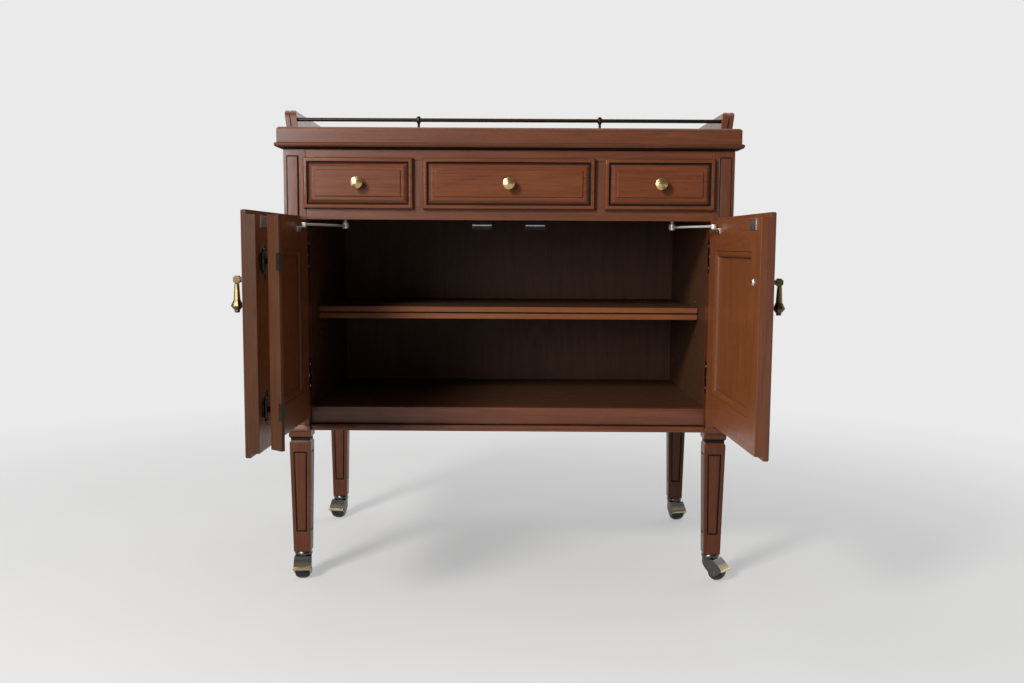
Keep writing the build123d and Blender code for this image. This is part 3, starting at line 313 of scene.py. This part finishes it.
def wood(name, grain, tones, gloss=0.38, glaze=0.85, wear=0.25, shine=0.28, lacquer=0.35):
    """A lacquered hardwood with growth lines, fibres, pores, dark glaze and painted shade in the grooves, and
    rubbed edges lightened partly as a painted highlight.
    """
    material, tree, shader, place = new_material(f"{name}_{grain.lower()}")
    light, dark = tones
    figure = noise(tree, stretched(tree, place, grain, *FIGURE), detail=3.0, roughness=0.5, distortion=0.6)
    rings = math_node(tree, "PINGPONG", math_node(tree, "MULTIPLY", figure, RINGS), 1.0)
    fibre = noise(tree, stretched(tree, place, grain, *FIBRE), detail=5.0, roughness=0.62)
    pore_noise = noise(tree, stretched(tree, place, grain, *PORES), detail=2.0, roughness=0.5)
    pores = remap(tree, pore_noise, 0.60, 0.72)
    cloud = noise(tree, place, scale=5.5)

    figure_share = math_node(tree, "MULTIPLY", rings, FIGURE_SHARE)
    fibre_share = math_node(tree, "MULTIPLY", remap(tree, fibre, *NOISE_RANGE), FIBRE_SHARE)
    colour = mixed(tree, math_node(tree, "ADD", figure_share, fibre_share), dark, light)
    shade = remap(tree, cloud, *NOISE_RANGE, 0.0, CLOUD_SHARE)
    colour = mixed(tree, shade, colour, dark)
    deep = tuple(part * 0.35 for part in dark)
    colour = mixed(tree, math_node(tree, "MULTIPLY", pores, PORE_SHARE), colour, deep)
    edge, rounded = sharp_edge(tree, RUBBED_WOOD)
    # Edges are lightened: partly rubbed wear, partly a painted highlight along the edges that catch the light
    rubbed = remap(tree, edge, *RUBBED_RANGE, 0.0, wear)
    colour = mixed(tree, rubbed, colour, tuple(min(1.0, part * 1.6) for part in light))
    # Painted shade: the more hidden a point is in a groove, the darker it turns towards the glaze colour,
    # standing for dark glaze as well as shade
    hidden = remap(tree, crevice(tree, WOOD_GROOVE), 0.32, 0.72, 0.0, glaze)
    colour = mixed(tree, hidden, colour, GROOVE_GLAZE_AND_SHADE)
    tree.links.new(colour, shader.inputs["Base Color"])

    smudge = noise(tree, place, scale=60.0, detail=4.0, roughness=0.6)
    smear = remap(tree, smudge, *NOISE_RANGE, gloss - 0.05, gloss + 0.07)
    rough = math_node(tree, "ADD", smear, math_node(tree, "MULTIPLY", pores, 0.12))
    tree.links.new(rough, shader.inputs["Roughness"])
    shader.inputs["Specular IOR Level"].default_value = shine
    shader.inputs["Coat Weight"].default_value = lacquer
    shader.inputs["Coat Roughness"].default_value = COAT_ROUGHNESS
    raised = math_node(tree, "MULTIPLY", fibre, 0.4)
    height = math_node(tree, "SUBTRACT", raised, math_node(tree, "MULTIPLY", pores, 0.7))
    relief = {"Height": height, "Distance": 0.00025, "Strength": 0.35, "Normal": rounded}
    tree.links.new(add(tree, "ShaderNodeBump", relief).outputs[0], shader.inputs["Normal"])
    tree.links.new(rounded, shader.inputs["Coat Normal"])
    return material


def metal(name, tone, tarnish, gloss, wear, plating=1.0, painted_below=None):
    """A plated or polished metal with smudges, scratches, tarnish in the recesses and bright rubbed edges."""
    material, tree, shader, place = new_material(name)
    smudge = noise(tree, place, scale=260.0, detail=4.0, roughness=0.6)
    scratch = noise(tree, stretched(tree, place, "Z", *SCRATCHES), roughness=0.6)
    # Lower down, the tone turns to a lighter one: a painted reflection along the rim
    if painted_below:
        painted_reflection_tone, low, high = painted_below
        height = add(tree, "ShaderNodeSeparateXYZ", {0: add(tree, "ShaderNodeTexCoord").outputs["Object"]})
        tone = mixed(tree, remap(tree, height.outputs["Z"], low, high), painted_reflection_tone, tone)
    colour = mixed(tree, remap(tree, smudge, 0.35, 0.75, 0.0, 0.45), tone, tarnish)
    edge, rounded = sharp_edge(tree, RUBBED_METAL)
    colour = mixed(tree, remap(tree, edge, *RUBBED_RANGE, 0.0, METAL_WEAR), colour, wear)
    hidden = remap(tree, crevice(tree, METAL_GROOVE), 0.25, 0.75, 0.0, METAL_WEAR)
    colour = mixed(tree, hidden, colour, tuple(part * 0.25 for part in tarnish))
    tree.links.new(colour, shader.inputs["Base Color"])
    shader.inputs["Metallic"].default_value = plating
    rough = remap(tree, smudge, *NOISE_RANGE, gloss - 0.06, gloss + 0.06)
    tree.links.new(rough, shader.inputs["Roughness"])
    relief = {"Height": scratch, "Distance": 0.00008, "Strength": 0.25, "Normal": rounded}
    tree.links.new(add(tree, "ShaderNodeBump", relief).outputs[0], shader.inputs["Normal"])
    return material


def black_plastic(name, dusty, shine):
    """Hard black plastic with scuffs and dust."""
    material, tree, shader, place = new_material(name)
    scuff = noise(tree, place, scale=420.0, detail=5.0, roughness=0.65)
    dust_noise = noise(tree, place, scale=90.0, detail=4.0, roughness=0.6)
    dust = remap(tree, dust_noise, 0.5, 0.75, 0.0, dusty)
    tree.links.new(mixed(tree, dust, PLASTIC, DUST), shader.inputs["Base Color"])
    shader.inputs["Specular IOR Level"].default_value = shine
    tree.links.new(remap(tree, scuff, *NOISE_RANGE, 0.3, 0.5), shader.inputs["Roughness"])
    bump = add(tree, "ShaderNodeBump", {"Height": scuff, "Distance": 0.0001, "Strength": 0.3})
    tree.links.new(bump.outputs[0], shader.inputs["Normal"])
    return material


def finishes(name, tones, **looks):
    """One wood finish in each grain direction."""
    return {grain: wood(name, grain, tones, **looks) for grain in "XYZ"}


case_wood = finishes("case_wood", CASE_TONES)
drawer_wood = finishes("drawer_wood", DRAWER_TONES, shine=0.15, lacquer=0.30)
leg_and_shade_wood = finishes("leg_and_shade_wood", LEG_AND_SHADE_TONES, shine=0.15, lacquer=0.25)
shaded_edge_wood = finishes("shaded_edge_wood", SHADED_EDGE_TONES, gloss=0.42, shine=0.10, lacquer=0.05)
inner_wood = finishes("inner_wood", INNER_TONES, gloss=0.42, shine=0.18, lacquer=0.20)
shaded_inside_wood = finishes("shaded_inside_wood", SHADED_INSIDE_TONES, gloss=0.48, wear=0.2, shine=0.25, lacquer=0.0)
box_wood = finishes("box_wood", BOX_TONES, gloss=0.55, glaze=0.3, wear=0.1, shine=0.25, lacquer=0.0)
glaze_and_shade_wood = finishes("glaze_and_shade_wood", GLAZE_AND_SHADE_TONES, gloss=0.55, wear=0.1, shine=0.10, lacquer=0.0)
bright_brass = metal("bright_brass", (0.58, 0.40, 0.18), (0.30, 0.19, 0.08), 0.26, (0.84, 0.66, 0.38))
grip_brass = metal("grip_brass", (0.28, 0.20, 0.08), (0.12, 0.082, 0.036), 0.40, (0.55, 0.43, 0.22))
antique_brass = metal("antique_brass", (0.13, 0.094, 0.044), (0.038, 0.029, 0.018), 0.34, (0.36, 0.28, 0.15))
bronze = metal("bronze", (0.045, 0.034, 0.025), (0.024, 0.018, 0.013), 0.36, (0.13, 0.10, 0.07))
pewter = metal("pewter", (0.13, 0.125, 0.115), (0.045, 0.041, 0.037), 0.34, (0.48, 0.46, 0.42))
# A painted reflection on the hood's cover: a light brass tone towards the rim, and the heights between which
# it gives way to the hood's own tone
rim_painted_reflection = ((0.66, 0.55, 0.34), 0.0215, 0.0310)
castor_cover_painted_rim = metal(
    "castor_cover_painted_rim", (0.14, 0.135, 0.125), (0.10, 0.085, 0.060), 0.17, (0.80, 0.74, 0.58), painted_below=rim_painted_reflection
)
nickel = metal("nickel", (0.72, 0.71, 0.68), (0.50, 0.48, 0.44), 0.34, (0.88, 0.87, 0.85))
zinc = metal("zinc", (0.86, 0.86, 0.84), (0.66, 0.65, 0.62), 0.40, (0.95, 0.95, 0.94), plating=0.45)
dull_zinc = metal("dull_zinc", (0.30, 0.30, 0.29), (0.20, 0.20, 0.19), 0.45, (0.42, 0.42, 0.41), plating=0.45)
wheel_black = black_plastic("wheel_black", 0.35, 0.35)
catch_black = black_plastic("catch_black", 0.08, 0.06)
METALS = (
    bright_brass, grip_brass, antique_brass, bronze, pewter, castor_cover_painted_rim, nickel, zinc,
    wheel_black, catch_black,
)
# How the names end of nodes whose members touch
TOUCHING = ("cornice_moulding", "door_frame", "drawer_box")


def grained(name, finish, grain_of, *others):
    """Give a node a wood finish, its grain set face by face, and others on the faces that they choose."""
    mesh = nodes[name].data
    mesh.materials.clear()
    for finish_set in (finish, *(other for other, chosen in others)):
        for grain in "XYZ":
            mesh.materials.append(finish_set[grain])
    for face in mesh.polygons:
        index = "XYZ".index(grain_of(face.center))
        for order, (other, chosen) in enumerate(others, 1):
            if chosen(face):
                index += 3 * order
                break
        face.material_index = index


def plain(name, material, other=None, chosen=None):
    """Give a node one material, and another on the chosen faces."""
    mesh = nodes[name].data
    mesh.materials.clear()
    mesh.materials.append(material)
    mesh.materials.append(other or material)
    for face in mesh.polygons:
        face.material_index = 1 if chosen and chosen(face) else 0


def along(grain):
    """A grain direction that is the same all over a node."""
    return lambda centre: grain


def round_frame(name):
    """A mitred frame's grain runs along each of its members."""
    low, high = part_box(name)

    def grain(centre):
        to_side = min(centre.x - low.x, high.x - centre.x)
        to_end = min(centre.y - low.y, high.y - centre.y)
        return "Y" if to_side < to_end else "X"

    return grain


def door_grain(panel):
    """An open door's rails run along Y between its stiles, which run along Z."""
    low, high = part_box(panel)
    return lambda centre: "Y" if low.y < centre.y < high.y else "Z"


def leg_glaze(face):
    """The neck of a leg, and the sunk line round its faces."""
    x, y, z = face.center
    if LEG_NECK[0] < z < LEG_NECK[1]:
        return True
    out = max(abs(abs(x) - LEG_PLACE[0]), abs(abs(y) - LEG_PLACE[1]))
    (low, low_half), (high, high_half) = LEG_LOW, LEG_HIGH
    half = low_half + (high_half - low_half) * (z - low) / (high - low)
    return LEG_LINE[0] < z < LEG_LINE[1] and out < half - SLIVER


def drawer_groove_shade(face):
    """The floor and the outer wall of the groove round a drawer's field, painted near-black as shade."""
    depth = face.center.y - DRAWER_FACE
    if face.normal.y < -SQUARE:
        return depth > DRAWER_GROOVE - SLIVER
    return abs(face.normal.y) < UPRIGHT and 0.0 < depth < DRAWER_GROOVE


def post_strip_shade(face):
    """The sloping edges of the strip on a post, painted near-black as shade."""
    proud = abs(face.center.y) + FRONT_Y
    return SLIVER < proud < PILASTER_RELIEF - SLIVER and abs(face.normal.y) < SQUARE


def cornice_cove_shade(face):
    """The cove under the cornice, painted near-black as shade."""
    return face.normal.z < -SLANTED and CORNICE_COVE[0] < face.center.z < CORNICE_COVE[1]


def base_ledge_shade(face):
    """The ledge on top of the base moulding, painted near-black as shade."""
    return face.normal.z > SQUARE and face.center.z > BASE_TOP - SLIVER


def shelf_groove_shade(face):
    """The groove along the shelf's front edge, painted near-black as shade."""
    return SLIVER < face.center.y - SHELF_FRONT < SHELF_GROOVE


def door_edge(face):
    """The free edge of an open door, which faces the front."""
    return face.normal.y < -EASED


def door_outside(way):
    """The outer face of an open door, which faces away from the middle."""
    return lambda face: way * face.normal.x > SLANTED


def shelf_inside(face):
    """The top, underside and ends of the shelf, which take the darker inside wood as painted shade."""
    return face.normal.y > -SQUARE


def side_inside(face):
    """The inner face of a side panel, which takes the darker inside wood as painted shade."""
    return abs(face.center.x) < POST_IN_X + SLIVER


def dress_wood():
    """Give every wooden node its finish."""
    grains = {
        "top_board": "X", "gallery_boards": "Y", "front_rails": "X", "drawer_dividers": "Z",
        "side_rails": "Y", "back_rails": "X", "base_blocks": "X",
    }
    for name, grain in grains.items():
        grained(name, case_wood, along(grain))
    # Near-black faces on the posts' strips, the cornice cove, the base ledge, the shelf groove and the drawer
    # grooves are painted shade
    grained("corner_posts", case_wood, along("Z"), (glaze_and_shade_wood, post_strip_shade))
    grained("legs", leg_and_shade_wood, along("Z"), (glaze_and_shade_wood, leg_glaze))
    grained("cornice_moulding", leg_and_shade_wood, round_frame("cornice_moulding"), (glaze_and_shade_wood, cornice_cove_shade))
    grained("base_moulding", case_wood, round_frame("base_moulding"), (glaze_and_shade_wood, base_ledge_shade))
    # The left door's free edge takes the darker copy of the wood as painted shade
    for side, way, edge_finish in (("left", -1, shaded_edge_wood), ("right", 1, case_wood)):
        outside = (case_wood, door_outside(way))
        grain = door_grain(f"{side}_door_panel")
        grained(f"{side}_door_frame", inner_wood, grain, outside, (edge_finish, door_edge))
        grained(f"{side}_door_panel", inner_wood, along("Z"), outside)
        grained(f"side_panel_{side}", case_wood, along("Z"), (shaded_inside_wood, side_inside))
    # The meeting strip takes the darker copy of the wood as painted shade
    grained("meeting_strip", shaded_edge_wood, along("Z"))
    grained("shelf", inner_wood, along("X"), (glaze_and_shade_wood, shelf_groove_shade), (shaded_inside_wood, shelf_inside))
    # The back panel, dust board and bottom board take the darker inside wood as painted shade
    for name, grain in {"back_panel": "Z", "dust_board": "X", "bottom_board": "X"}.items():
        grained(name, shaded_inside_wood, along(grain))
    grained("drawer_guides", box_wood, along("Y"))
    for drawer in DRAWERS:
        grained(f"{drawer}_drawer_front", drawer_wood, along("X"), (glaze_and_shade_wood, drawer_groove_shade))
        grained(f"{drawer}_drawer_box", box_wood, along("Y"))


def hood_cover(castor):
    """The curved cover and the rim at the front of a castor's hood."""
    side, end, turn = CASTORS[castor]
    back = Matrix.Rotation(-math.radians(turn), 3, "Z")
    stem = Vector((side * LEG_PLACE[0], end * LEG_PLACE[1], 0.0))

    def chosen(face):
        ahead = (back @ (face.center - stem)).y + CASTOR_TRAIL
        return ahead < -HOOD_COVER_START and abs((back @ face.normal).x) < HOOD_CHEEK

    return chosen


def pull_grip(face):
    """The plain middle of a pull's grip."""
    return PULL_GRIP[0] < face.center.z - PULL_PLACE[1] < PULL_GRIP[1]


def dress_metal():
    """Give every metal node and the wheels their finish."""
    for name in ("gallery_rails", "gallery_supports", "post_hinge_leaves", "strip_hinge_leaves"):
        plain(name, bronze)
    for side in ("left", "right"):
        plain(f"{side}_door_hinge_leaves", bronze)
        plain(f"{side}_door_plates", nickel)
        plain(f"{side}_stay_rod", zinc)
        plain(f"{side}_stay_guide", zinc)
        plain(f"{side}_pull_mount", antique_brass)
        plain(f"{side}_pull_drop", antique_brass, grip_brass, pull_grip)
    plain("shelf_pins", bronze)
    plain("door_catches", catch_black)
    for drawer in DRAWERS:
        plain(f"{drawer}_drawer_knob", bright_brass)
    plain("castor_cups", pewter)
    for castor in CASTORS:
        # The hood's cover carries a painted reflection, lighter towards the rim
        plain(f"{castor}_castor_hood", pewter, castor_cover_painted_rim, hood_cover(castor))
        plain(f"{castor}_castor_wheel", wheel_black)


def soften(piece, width, angle):
    """Round an object's edges a little and shade its curved faces smooth."""
    weld = piece.modifiers.new("weld", "WELD")
    weld.merge_threshold = WELD_DISTANCE
    bevel = piece.modifiers.new("eased_edges", "BEVEL")
    bevel.width = width
    bevel.segments = 2
    bevel.limit_method = "ANGLE"
    bevel.angle_limit = math.radians(angle)
    bevel.use_clamp_overlap = True
    for face in piece.data.polygons:
        face.use_smooth = True
    smooth = piece.modifiers.new("smooth", "WEIGHTED_NORMAL")
    smooth.keep_sharp = True


def ease_edges():
    """Soften every node, apart from those whose members touch: the finish alone rounds their edges."""
    for name, node in nodes.items():
        if name.endswith(TOUCHING):
            continue
        width = METAL_EDGE if node.data.materials[0] in METALS else WOOD_EDGE
        soften(node, width, FEW_FLATS_ANGLE if name == "gallery_supports" else SMOOTH_ANGLE)


def on_door(side):
    """Return the move from the shut right door to the open door on a side."""
    hinge = Matrix.Translation(HINGE)
    move = hinge @ Matrix.Rotation(math.radians(DOOR_TURN), 4, "Z") @ hinge.inverted()
    return move if side == "right" else Matrix.Diagonal((-1.0, 1.0, 1.0, 1.0)) @ move


def on_strip():
    """Return the move from the strip lying flat on the shut right door to where it stands on the left."""
    axis = Matrix.Translation(STRIP_AXIS)
    return on_door("left") @ axis @ Matrix.Rotation(math.radians(STRIP_TURN), 4, "Z") @ axis.inverted()


def facing(x, y, z, direction):
    """Return a place whose own Z axis points in a direction."""
    return Matrix.Translation((x, y, z)) @ Vector(direction).to_track_quat("Z", "Y").to_matrix().to_4x4()


def join_rings(shape, rings):
    """Join rings of points into a skin; a ring of one point closes it."""
    for lower, upper in zip(rings, rings[1:]):
        count = max(len(lower), len(upper))
        for index in range(count):
            after = (index + 1) % count
            corners = [lower[index % len(lower)], lower[after % len(lower)]]
            corners += [upper[after % len(upper)], upper[index % len(upper)]]
            shape.faces.new(list(dict.fromkeys(corners)))


def turned(shape, place, profile, sides=16):
    """Add a turned form that follows (radius, height) points along the place's Z axis."""
    rings = []
    for radius, height in profile:
        turns = range(sides if radius else 1)
        points = [(radius, math.tau * turn / sides) for turn in turns]
        ring = [Vector((reach * math.cos(angle), reach * math.sin(angle), height)) for reach, angle in points]
        rings.append([shape.verts.new(place @ point) for point in ring])
    join_rings(shape, rings)


def screw(shape, place, radius):
    """Add a slotted screw head: two half domes with a slot between them."""
    for half_turn in (0.0, math.pi):
        turn = place @ Matrix.Rotation(half_turn + SCREW_SLOT_TURN, 4, "Z")
        rings = []
        for reach, height in SCREW_DOME:
            start = math.asin(SCREW_SLOT / reach)
            step = (math.pi - 2 * start) / SCREW_STEPS
            angles = [start + step * count for count in range(SCREW_STEPS + 1)]
            outline = [(reach * math.cos(angle), reach * math.sin(angle), height) for angle in angles]
            rings.append([shape.verts.new(turn @ (radius * Vector(point))) for point in outline])
        join_rings(shape, rings)
        shape.faces.new(rings[0])
        shape.faces.new(rings[-1])


def slab(shape, place, size, ease):
    """Add a thin plate with eased corners on the place's XY plane."""
    width, height, thickness = (part / 2 for part in size)
    rings = []
    for inset, level in ((0.0, 0.0), (0.0, thickness), (ease, 2 * thickness)):
        across = width - inset
        tall = height - inset
        outline = (
            (across - ease, -tall), (across, ease - tall), (across, tall - ease), (across - ease, tall),
            (ease - across, tall), (-across, tall - ease), (-across, ease - tall), (ease - across, -tall),
        )
        rings.append([shape.verts.new(place @ Vector((x, y, level))) for x, y in outline])
    join_rings(shape, rings)
    shape.faces.new(rings[0])
    shape.faces.new(rings[-1])


def finish_piece(name, shape, material, body):
    """Turn a mesh into a piece that rides on a body."""
    bmesh.ops.recalc_face_normals(shape, faces=shape.faces)
    mesh = bpy.data.meshes.new(name)
    shape.to_mesh(mesh)
    shape.free()
    mesh.materials.append(material)
    piece = bpy.data.objects.new(name, mesh)
    bpy.context.scene.collection.objects.link(piece)
    soften(piece, PIECE_EDGE, SMOOTH_ANGLE)
    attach(piece, body)


def make_cabinet_hardware():
    """Make the small pieces on the cabinet: screws, pin sockets, catch plates, near-black strips of painted
    shade in the gallery grooves and back pins.
    """
    shape = bmesh.new()
    for side in SIDES:
        for height in HINGE_HEIGHTS:
            for rise, back in HINGE_SCREWS:
                place = facing(side * POST_IN_X, FRONT_Y + back, height + rise, (-side, 0, 0))
                screw(shape, place, HINGE_SCREW)
    finish_piece("post_hinge_screws", shape, nickel, "cabinet")

    shape = bmesh.new()
    for side in SIDES:
        for y in PIN_ROWS:
            for z in SPARE_PIN_HEIGHTS:
                turned(shape, facing(side * POST_IN_X, y, z, (-side, 0, 0)), SOCKET)
    finish_piece("spare_pin_sockets", shape, pewter, "cabinet")

    shape = bmesh.new()
    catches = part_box("door_catches")[0]
    for side in SIDES:
        place = facing(side * STRIKE_PLACE[0], catches.y, catches.z + CATCH_PLATE_RISE, (0, -1, 0))
        slab(shape, place, CATCH_PLATE, PLATE_EASE)
    finish_piece("catch_plates", shape, dull_zinc, "cabinet")

    # Painted shade: thin near-black strips laid in the gallery ears' grooves
    shape = bmesh.new()
    width, thickness = GALLERY_SHADE_LINE
    for end in SIDES:
        for side in SIDES:
            low, high = (Vector((side * x, end * GALLERY_END, z)) for x, z in GALLERY_GROOVE)
            lean = Matrix.Rotation(math.atan2(end * (high.x - low.x), high.z - low.z), 4, "Z")
            place = facing(*((low + high) / 2), (0, end, 0)) @ lean
            slab(shape, place, (width, (high - low).length, thickness), PLATE_EASE)
    finish_piece("gallery_grooves", shape, glaze_and_shade_wood["Z"], "cabinet")

    shape = bmesh.new()
    for side in SIDES:
        for height in BACK_PIN_HEIGHTS:
            place = facing(side * BACK_PIN_X, BACK_PANEL_Y, height, (0, 1, 0))
            turned(shape, place, BACK_PIN, BACK_PIN_SIDES)
    finish_piece("back_panel_pins", shape, bronze, "cabinet")


def make_drawer_fields():
    """Make the thin raised field in the middle of each drawer's front."""
    for drawer in DRAWERS:
        low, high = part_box(f"{drawer}_drawer_front")
        size = (high.x - low.x - 2 * FIELD_INSET, high.z - low.z - 2 * FIELD_INSET, FIELD_RELIEF)
        place = facing((low.x + high.x) / 2, DRAWER_FACE, (low.z + high.z) / 2, (0, -1, 0))
        shape = bmesh.new()
        slab(shape, place, size, FIELD_EASE)
        finish_piece(f"{drawer}_drawer_field", shape, drawer_wood["X"], f"{drawer}_drawer")


def make_door_hardware():
    """Make the screws of the doors' plates and leaves, the pull's nut and the strip hinges' finials."""
    for side in ("left", "right"):
        move = on_door(side)
        shape = bmesh.new()
        for shift in STRIKE_SCREWS:
            x, z = STRIKE_PLACE[0] + shift, STRIKE_PLACE[1] + STRIKE_SCREW_RISE
            place = facing(x, DOOR_INNER_Y + STRIKE_THICKNESS, z, DOOR_INSIDE)
            screw(shape, move @ place, STRIKE_SCREW)
        for shift in STAY_SCREWS:
            x, z = STAY_PLATE_PLACE[0] + shift, STAY_PLATE_PLACE[1]
            place = facing(x, DOOR_INNER_Y + STAY_PLATE_THICKNESS, z, DOOR_INSIDE)
            screw(shape, move @ place, STAY_SCREW)
        finish_piece(f"{side}_plate_screws", shape, nickel, f"{side}_door")

    shape = bmesh.new()
    place = facing(PULL_PLACE[0], DOOR_INNER_Y, PULL_PLACE[1], DOOR_INSIDE)
    turned(shape, on_door("right") @ place, NUT)
    finish_piece("right_pull_nut", shape, nickel, "right_door")

    move = on_door("left")
    leaf_screws = bmesh.new()
    finials = bmesh.new()
    for height in STRIP_HINGE_HEIGHTS:
        for x, rise in LEAF_SCREWS:
            place = facing(x, DOOR_INNER_Y + LEAF_THICKNESS, height + rise, DOOR_INSIDE)
            screw(leaf_screws, move @ place, STRIP_SCREW)
        for way in SIDES:
            place = facing(STRIP_AXIS[0], STRIP_AXIS[1], height + way * FINIAL_RISE, (0, 0, way))
            turned(finials, move @ place, FINIAL)
    finish_piece("strip_leaf_screws", leaf_screws, bronze, "left_door")
    finish_piece("strip_hinge_finials", finials, bronze, "left_door")

    move = on_strip()
    shape = bmesh.new()
    for height in STRIP_HINGE_HEIGHTS:
        for shift, rise in STRIP_SCREWS:
            place = facing(STRIP_MIDDLE_X + shift, STRIP_LEAF_Y, height + rise, DOOR_INSIDE)
            screw(shape, move @ place, STRIP_SCREW)
    finish_piece("strip_screws", shape, bronze, "meeting_strip")


def make_camera():
    """Place the camera as the photograph was taken."""
    pitch, yaw, roll = (math.radians(angle) for angle in (CAMERA_PITCH, CAMERA_YAW, CAMERA_ROLL))
    forward = Vector((math.sin(yaw) * math.cos(pitch), math.cos(yaw) * math.cos(pitch), -math.sin(pitch)))
    level = Vector((math.cos(yaw), -math.sin(yaw), 0.0))
    plumb = forward.cross(level)
    right = math.cos(roll) * level + math.sin(roll) * plumb
    down = -math.sin(roll) * level + math.cos(roll) * plumb
    turn = Matrix((right, -down, -forward)).transposed()
    camera = bpy.data.objects.new("camera", bpy.data.cameras.new("camera"))
    bpy.context.scene.collection.objects.link(camera)
    camera.matrix_world = Matrix.Translation(CAMERA_PLACE) @ turn.to_4x4()
    camera.data.sensor_fit = "HORIZONTAL"
    camera.data.sensor_width = CAMERA_SENSOR
    camera.data.lens = CAMERA_LENS
    camera.data.shift_x, camera.data.shift_y = CAMERA_SHIFT
    camera.data.clip_start = CAMERA_NEAR
    bpy.context.scene.camera = camera


def make_lamp(name, place, target, size, power, colour):
    """Add a soft square lamp that faces a point."""
    lamp = bpy.data.lights.new(name, "AREA")
    lamp.size = size
    lamp.energy = power
    lamp.color = colour
    holder = bpy.data.objects.new(name, lamp)
    bpy.context.scene.collection.objects.link(holder)
    holder.visible_camera = False
    holder.location = place
    holder.rotation_euler = (Vector(target) - Vector(place)).to_track_quat("-Z", "Y").to_euler()


def seen_rays(tree):
    """Return whether a ray comes from the camera, and whether from a mirror or through glass."""
    rays = add(tree, "ShaderNodeLightPath").outputs
    mirror = math_node(tree, "MAXIMUM", rays["Is Glossy Ray"], rays["Is Transmission Ray"])
    return rays["Is Camera Ray"], mirror


def make_floor():
    """Make the pale floor, which fades into the pale surroundings with distance."""
    shape = bmesh.new()
    bmesh.ops.create_grid(shape, x_segments=1, y_segments=1, size=FLOOR_HALF)
    mesh = bpy.data.meshes.new("floor")
    shape.to_mesh(mesh)
    shape.free()
    floor = bpy.data.objects.new("floor", mesh)
    bpy.context.scene.collection.objects.link(floor)
    material, tree, shader, place = new_material("pale_floor")
    camera, mirror = seen_rays(tree)
    shown = math_node(tree, "MAXIMUM", camera, mirror)
    tone = remap(tree, noise(tree, place, scale=3.0, detail=2.0, roughness=0.5), *NOISE_RANGE)
    pale = mixed(tree, tone, *FLOOR_TONES)
    tree.links.new(mixed(tree, shown, FLOOR_BOUNCE, pale), shader.inputs["Base Color"])
    shader.inputs["Roughness"].default_value = 0.8
    shader.inputs["Specular IOR Level"].default_value = 0.1
    position = add(tree, "ShaderNodeNewGeometry").outputs["Position"]
    distance = add(tree, "ShaderNodeVectorMath", {0: position}, operation="LENGTH").outputs["Value"]
    near, end = FLOOR_FADE
    ends = {"Value": distance, "From Min": near, "From Max": end, "To Min": FLOOR_NEAR_FADE}
    far = add(tree, "ShaderNodeMapRange", ends, interpolation_type="SMOOTHSTEP").outputs["Result"]
    away = add(tree, "ShaderNodeEmission", {"Color": (*PALE, 1.0), "Strength": 1.0})
    fade = math_node(tree, "MULTIPLY", far, shown)
    both = add(tree, "ShaderNodeMixShader", {0: fade, 1: shader.outputs[0], 2: away.outputs[0]})
    tree.links.new(both.outputs[0], tree.nodes["Material Output"].inputs["Surface"])
    mesh.materials.append(material)


def make_studio():
    """Make the floor, the lamps and the pale surroundings, which mirrors see dimmer on the camera's side."""
    make_floor()
    for name, settings in LAMPS.items():
        make_lamp(name, *settings)

    world = bpy.data.worlds.new("surroundings")
    bpy.context.scene.world = world
    world.use_nodes = True
    tree = world.node_tree
    tree.nodes.clear()
    camera, mirror = seen_rays(tree)
    direction = add(tree, "ShaderNodeTexCoord").outputs["Generated"]
    ahead = add(tree, "ShaderNodeSeparateXYZ", {0: direction}).outputs["Y"]
    mirrored = math_node(tree, "MULTIPLY", mirror, remap(tree, ahead, *MIRROR_FADE))
    shown = math_node(tree, "MAXIMUM", camera, mirrored)
    lit = add(tree, "ShaderNodeBackground", {"Color": (*WORLD_LIGHT, 1.0), "Strength": WORLD_STRENGTH})
    seen = add(tree, "ShaderNodeBackground", {"Color": (*PALE, 1.0), "Strength": 1.0})
    both = add(tree, "ShaderNodeMixShader", {0: shown, 1: lit.outputs[0], 2: seen.outputs[0]})
    add(tree, "ShaderNodeOutputWorld", {"Surface": both.outputs[0]})


bpy.context.scene.view_settings.view_transform = "Standard"
dress_wood()
dress_metal()
ease_edges()
make_cabinet_hardware()
make_drawer_fields()
make_door_hardware()
make_camera()
make_studio()
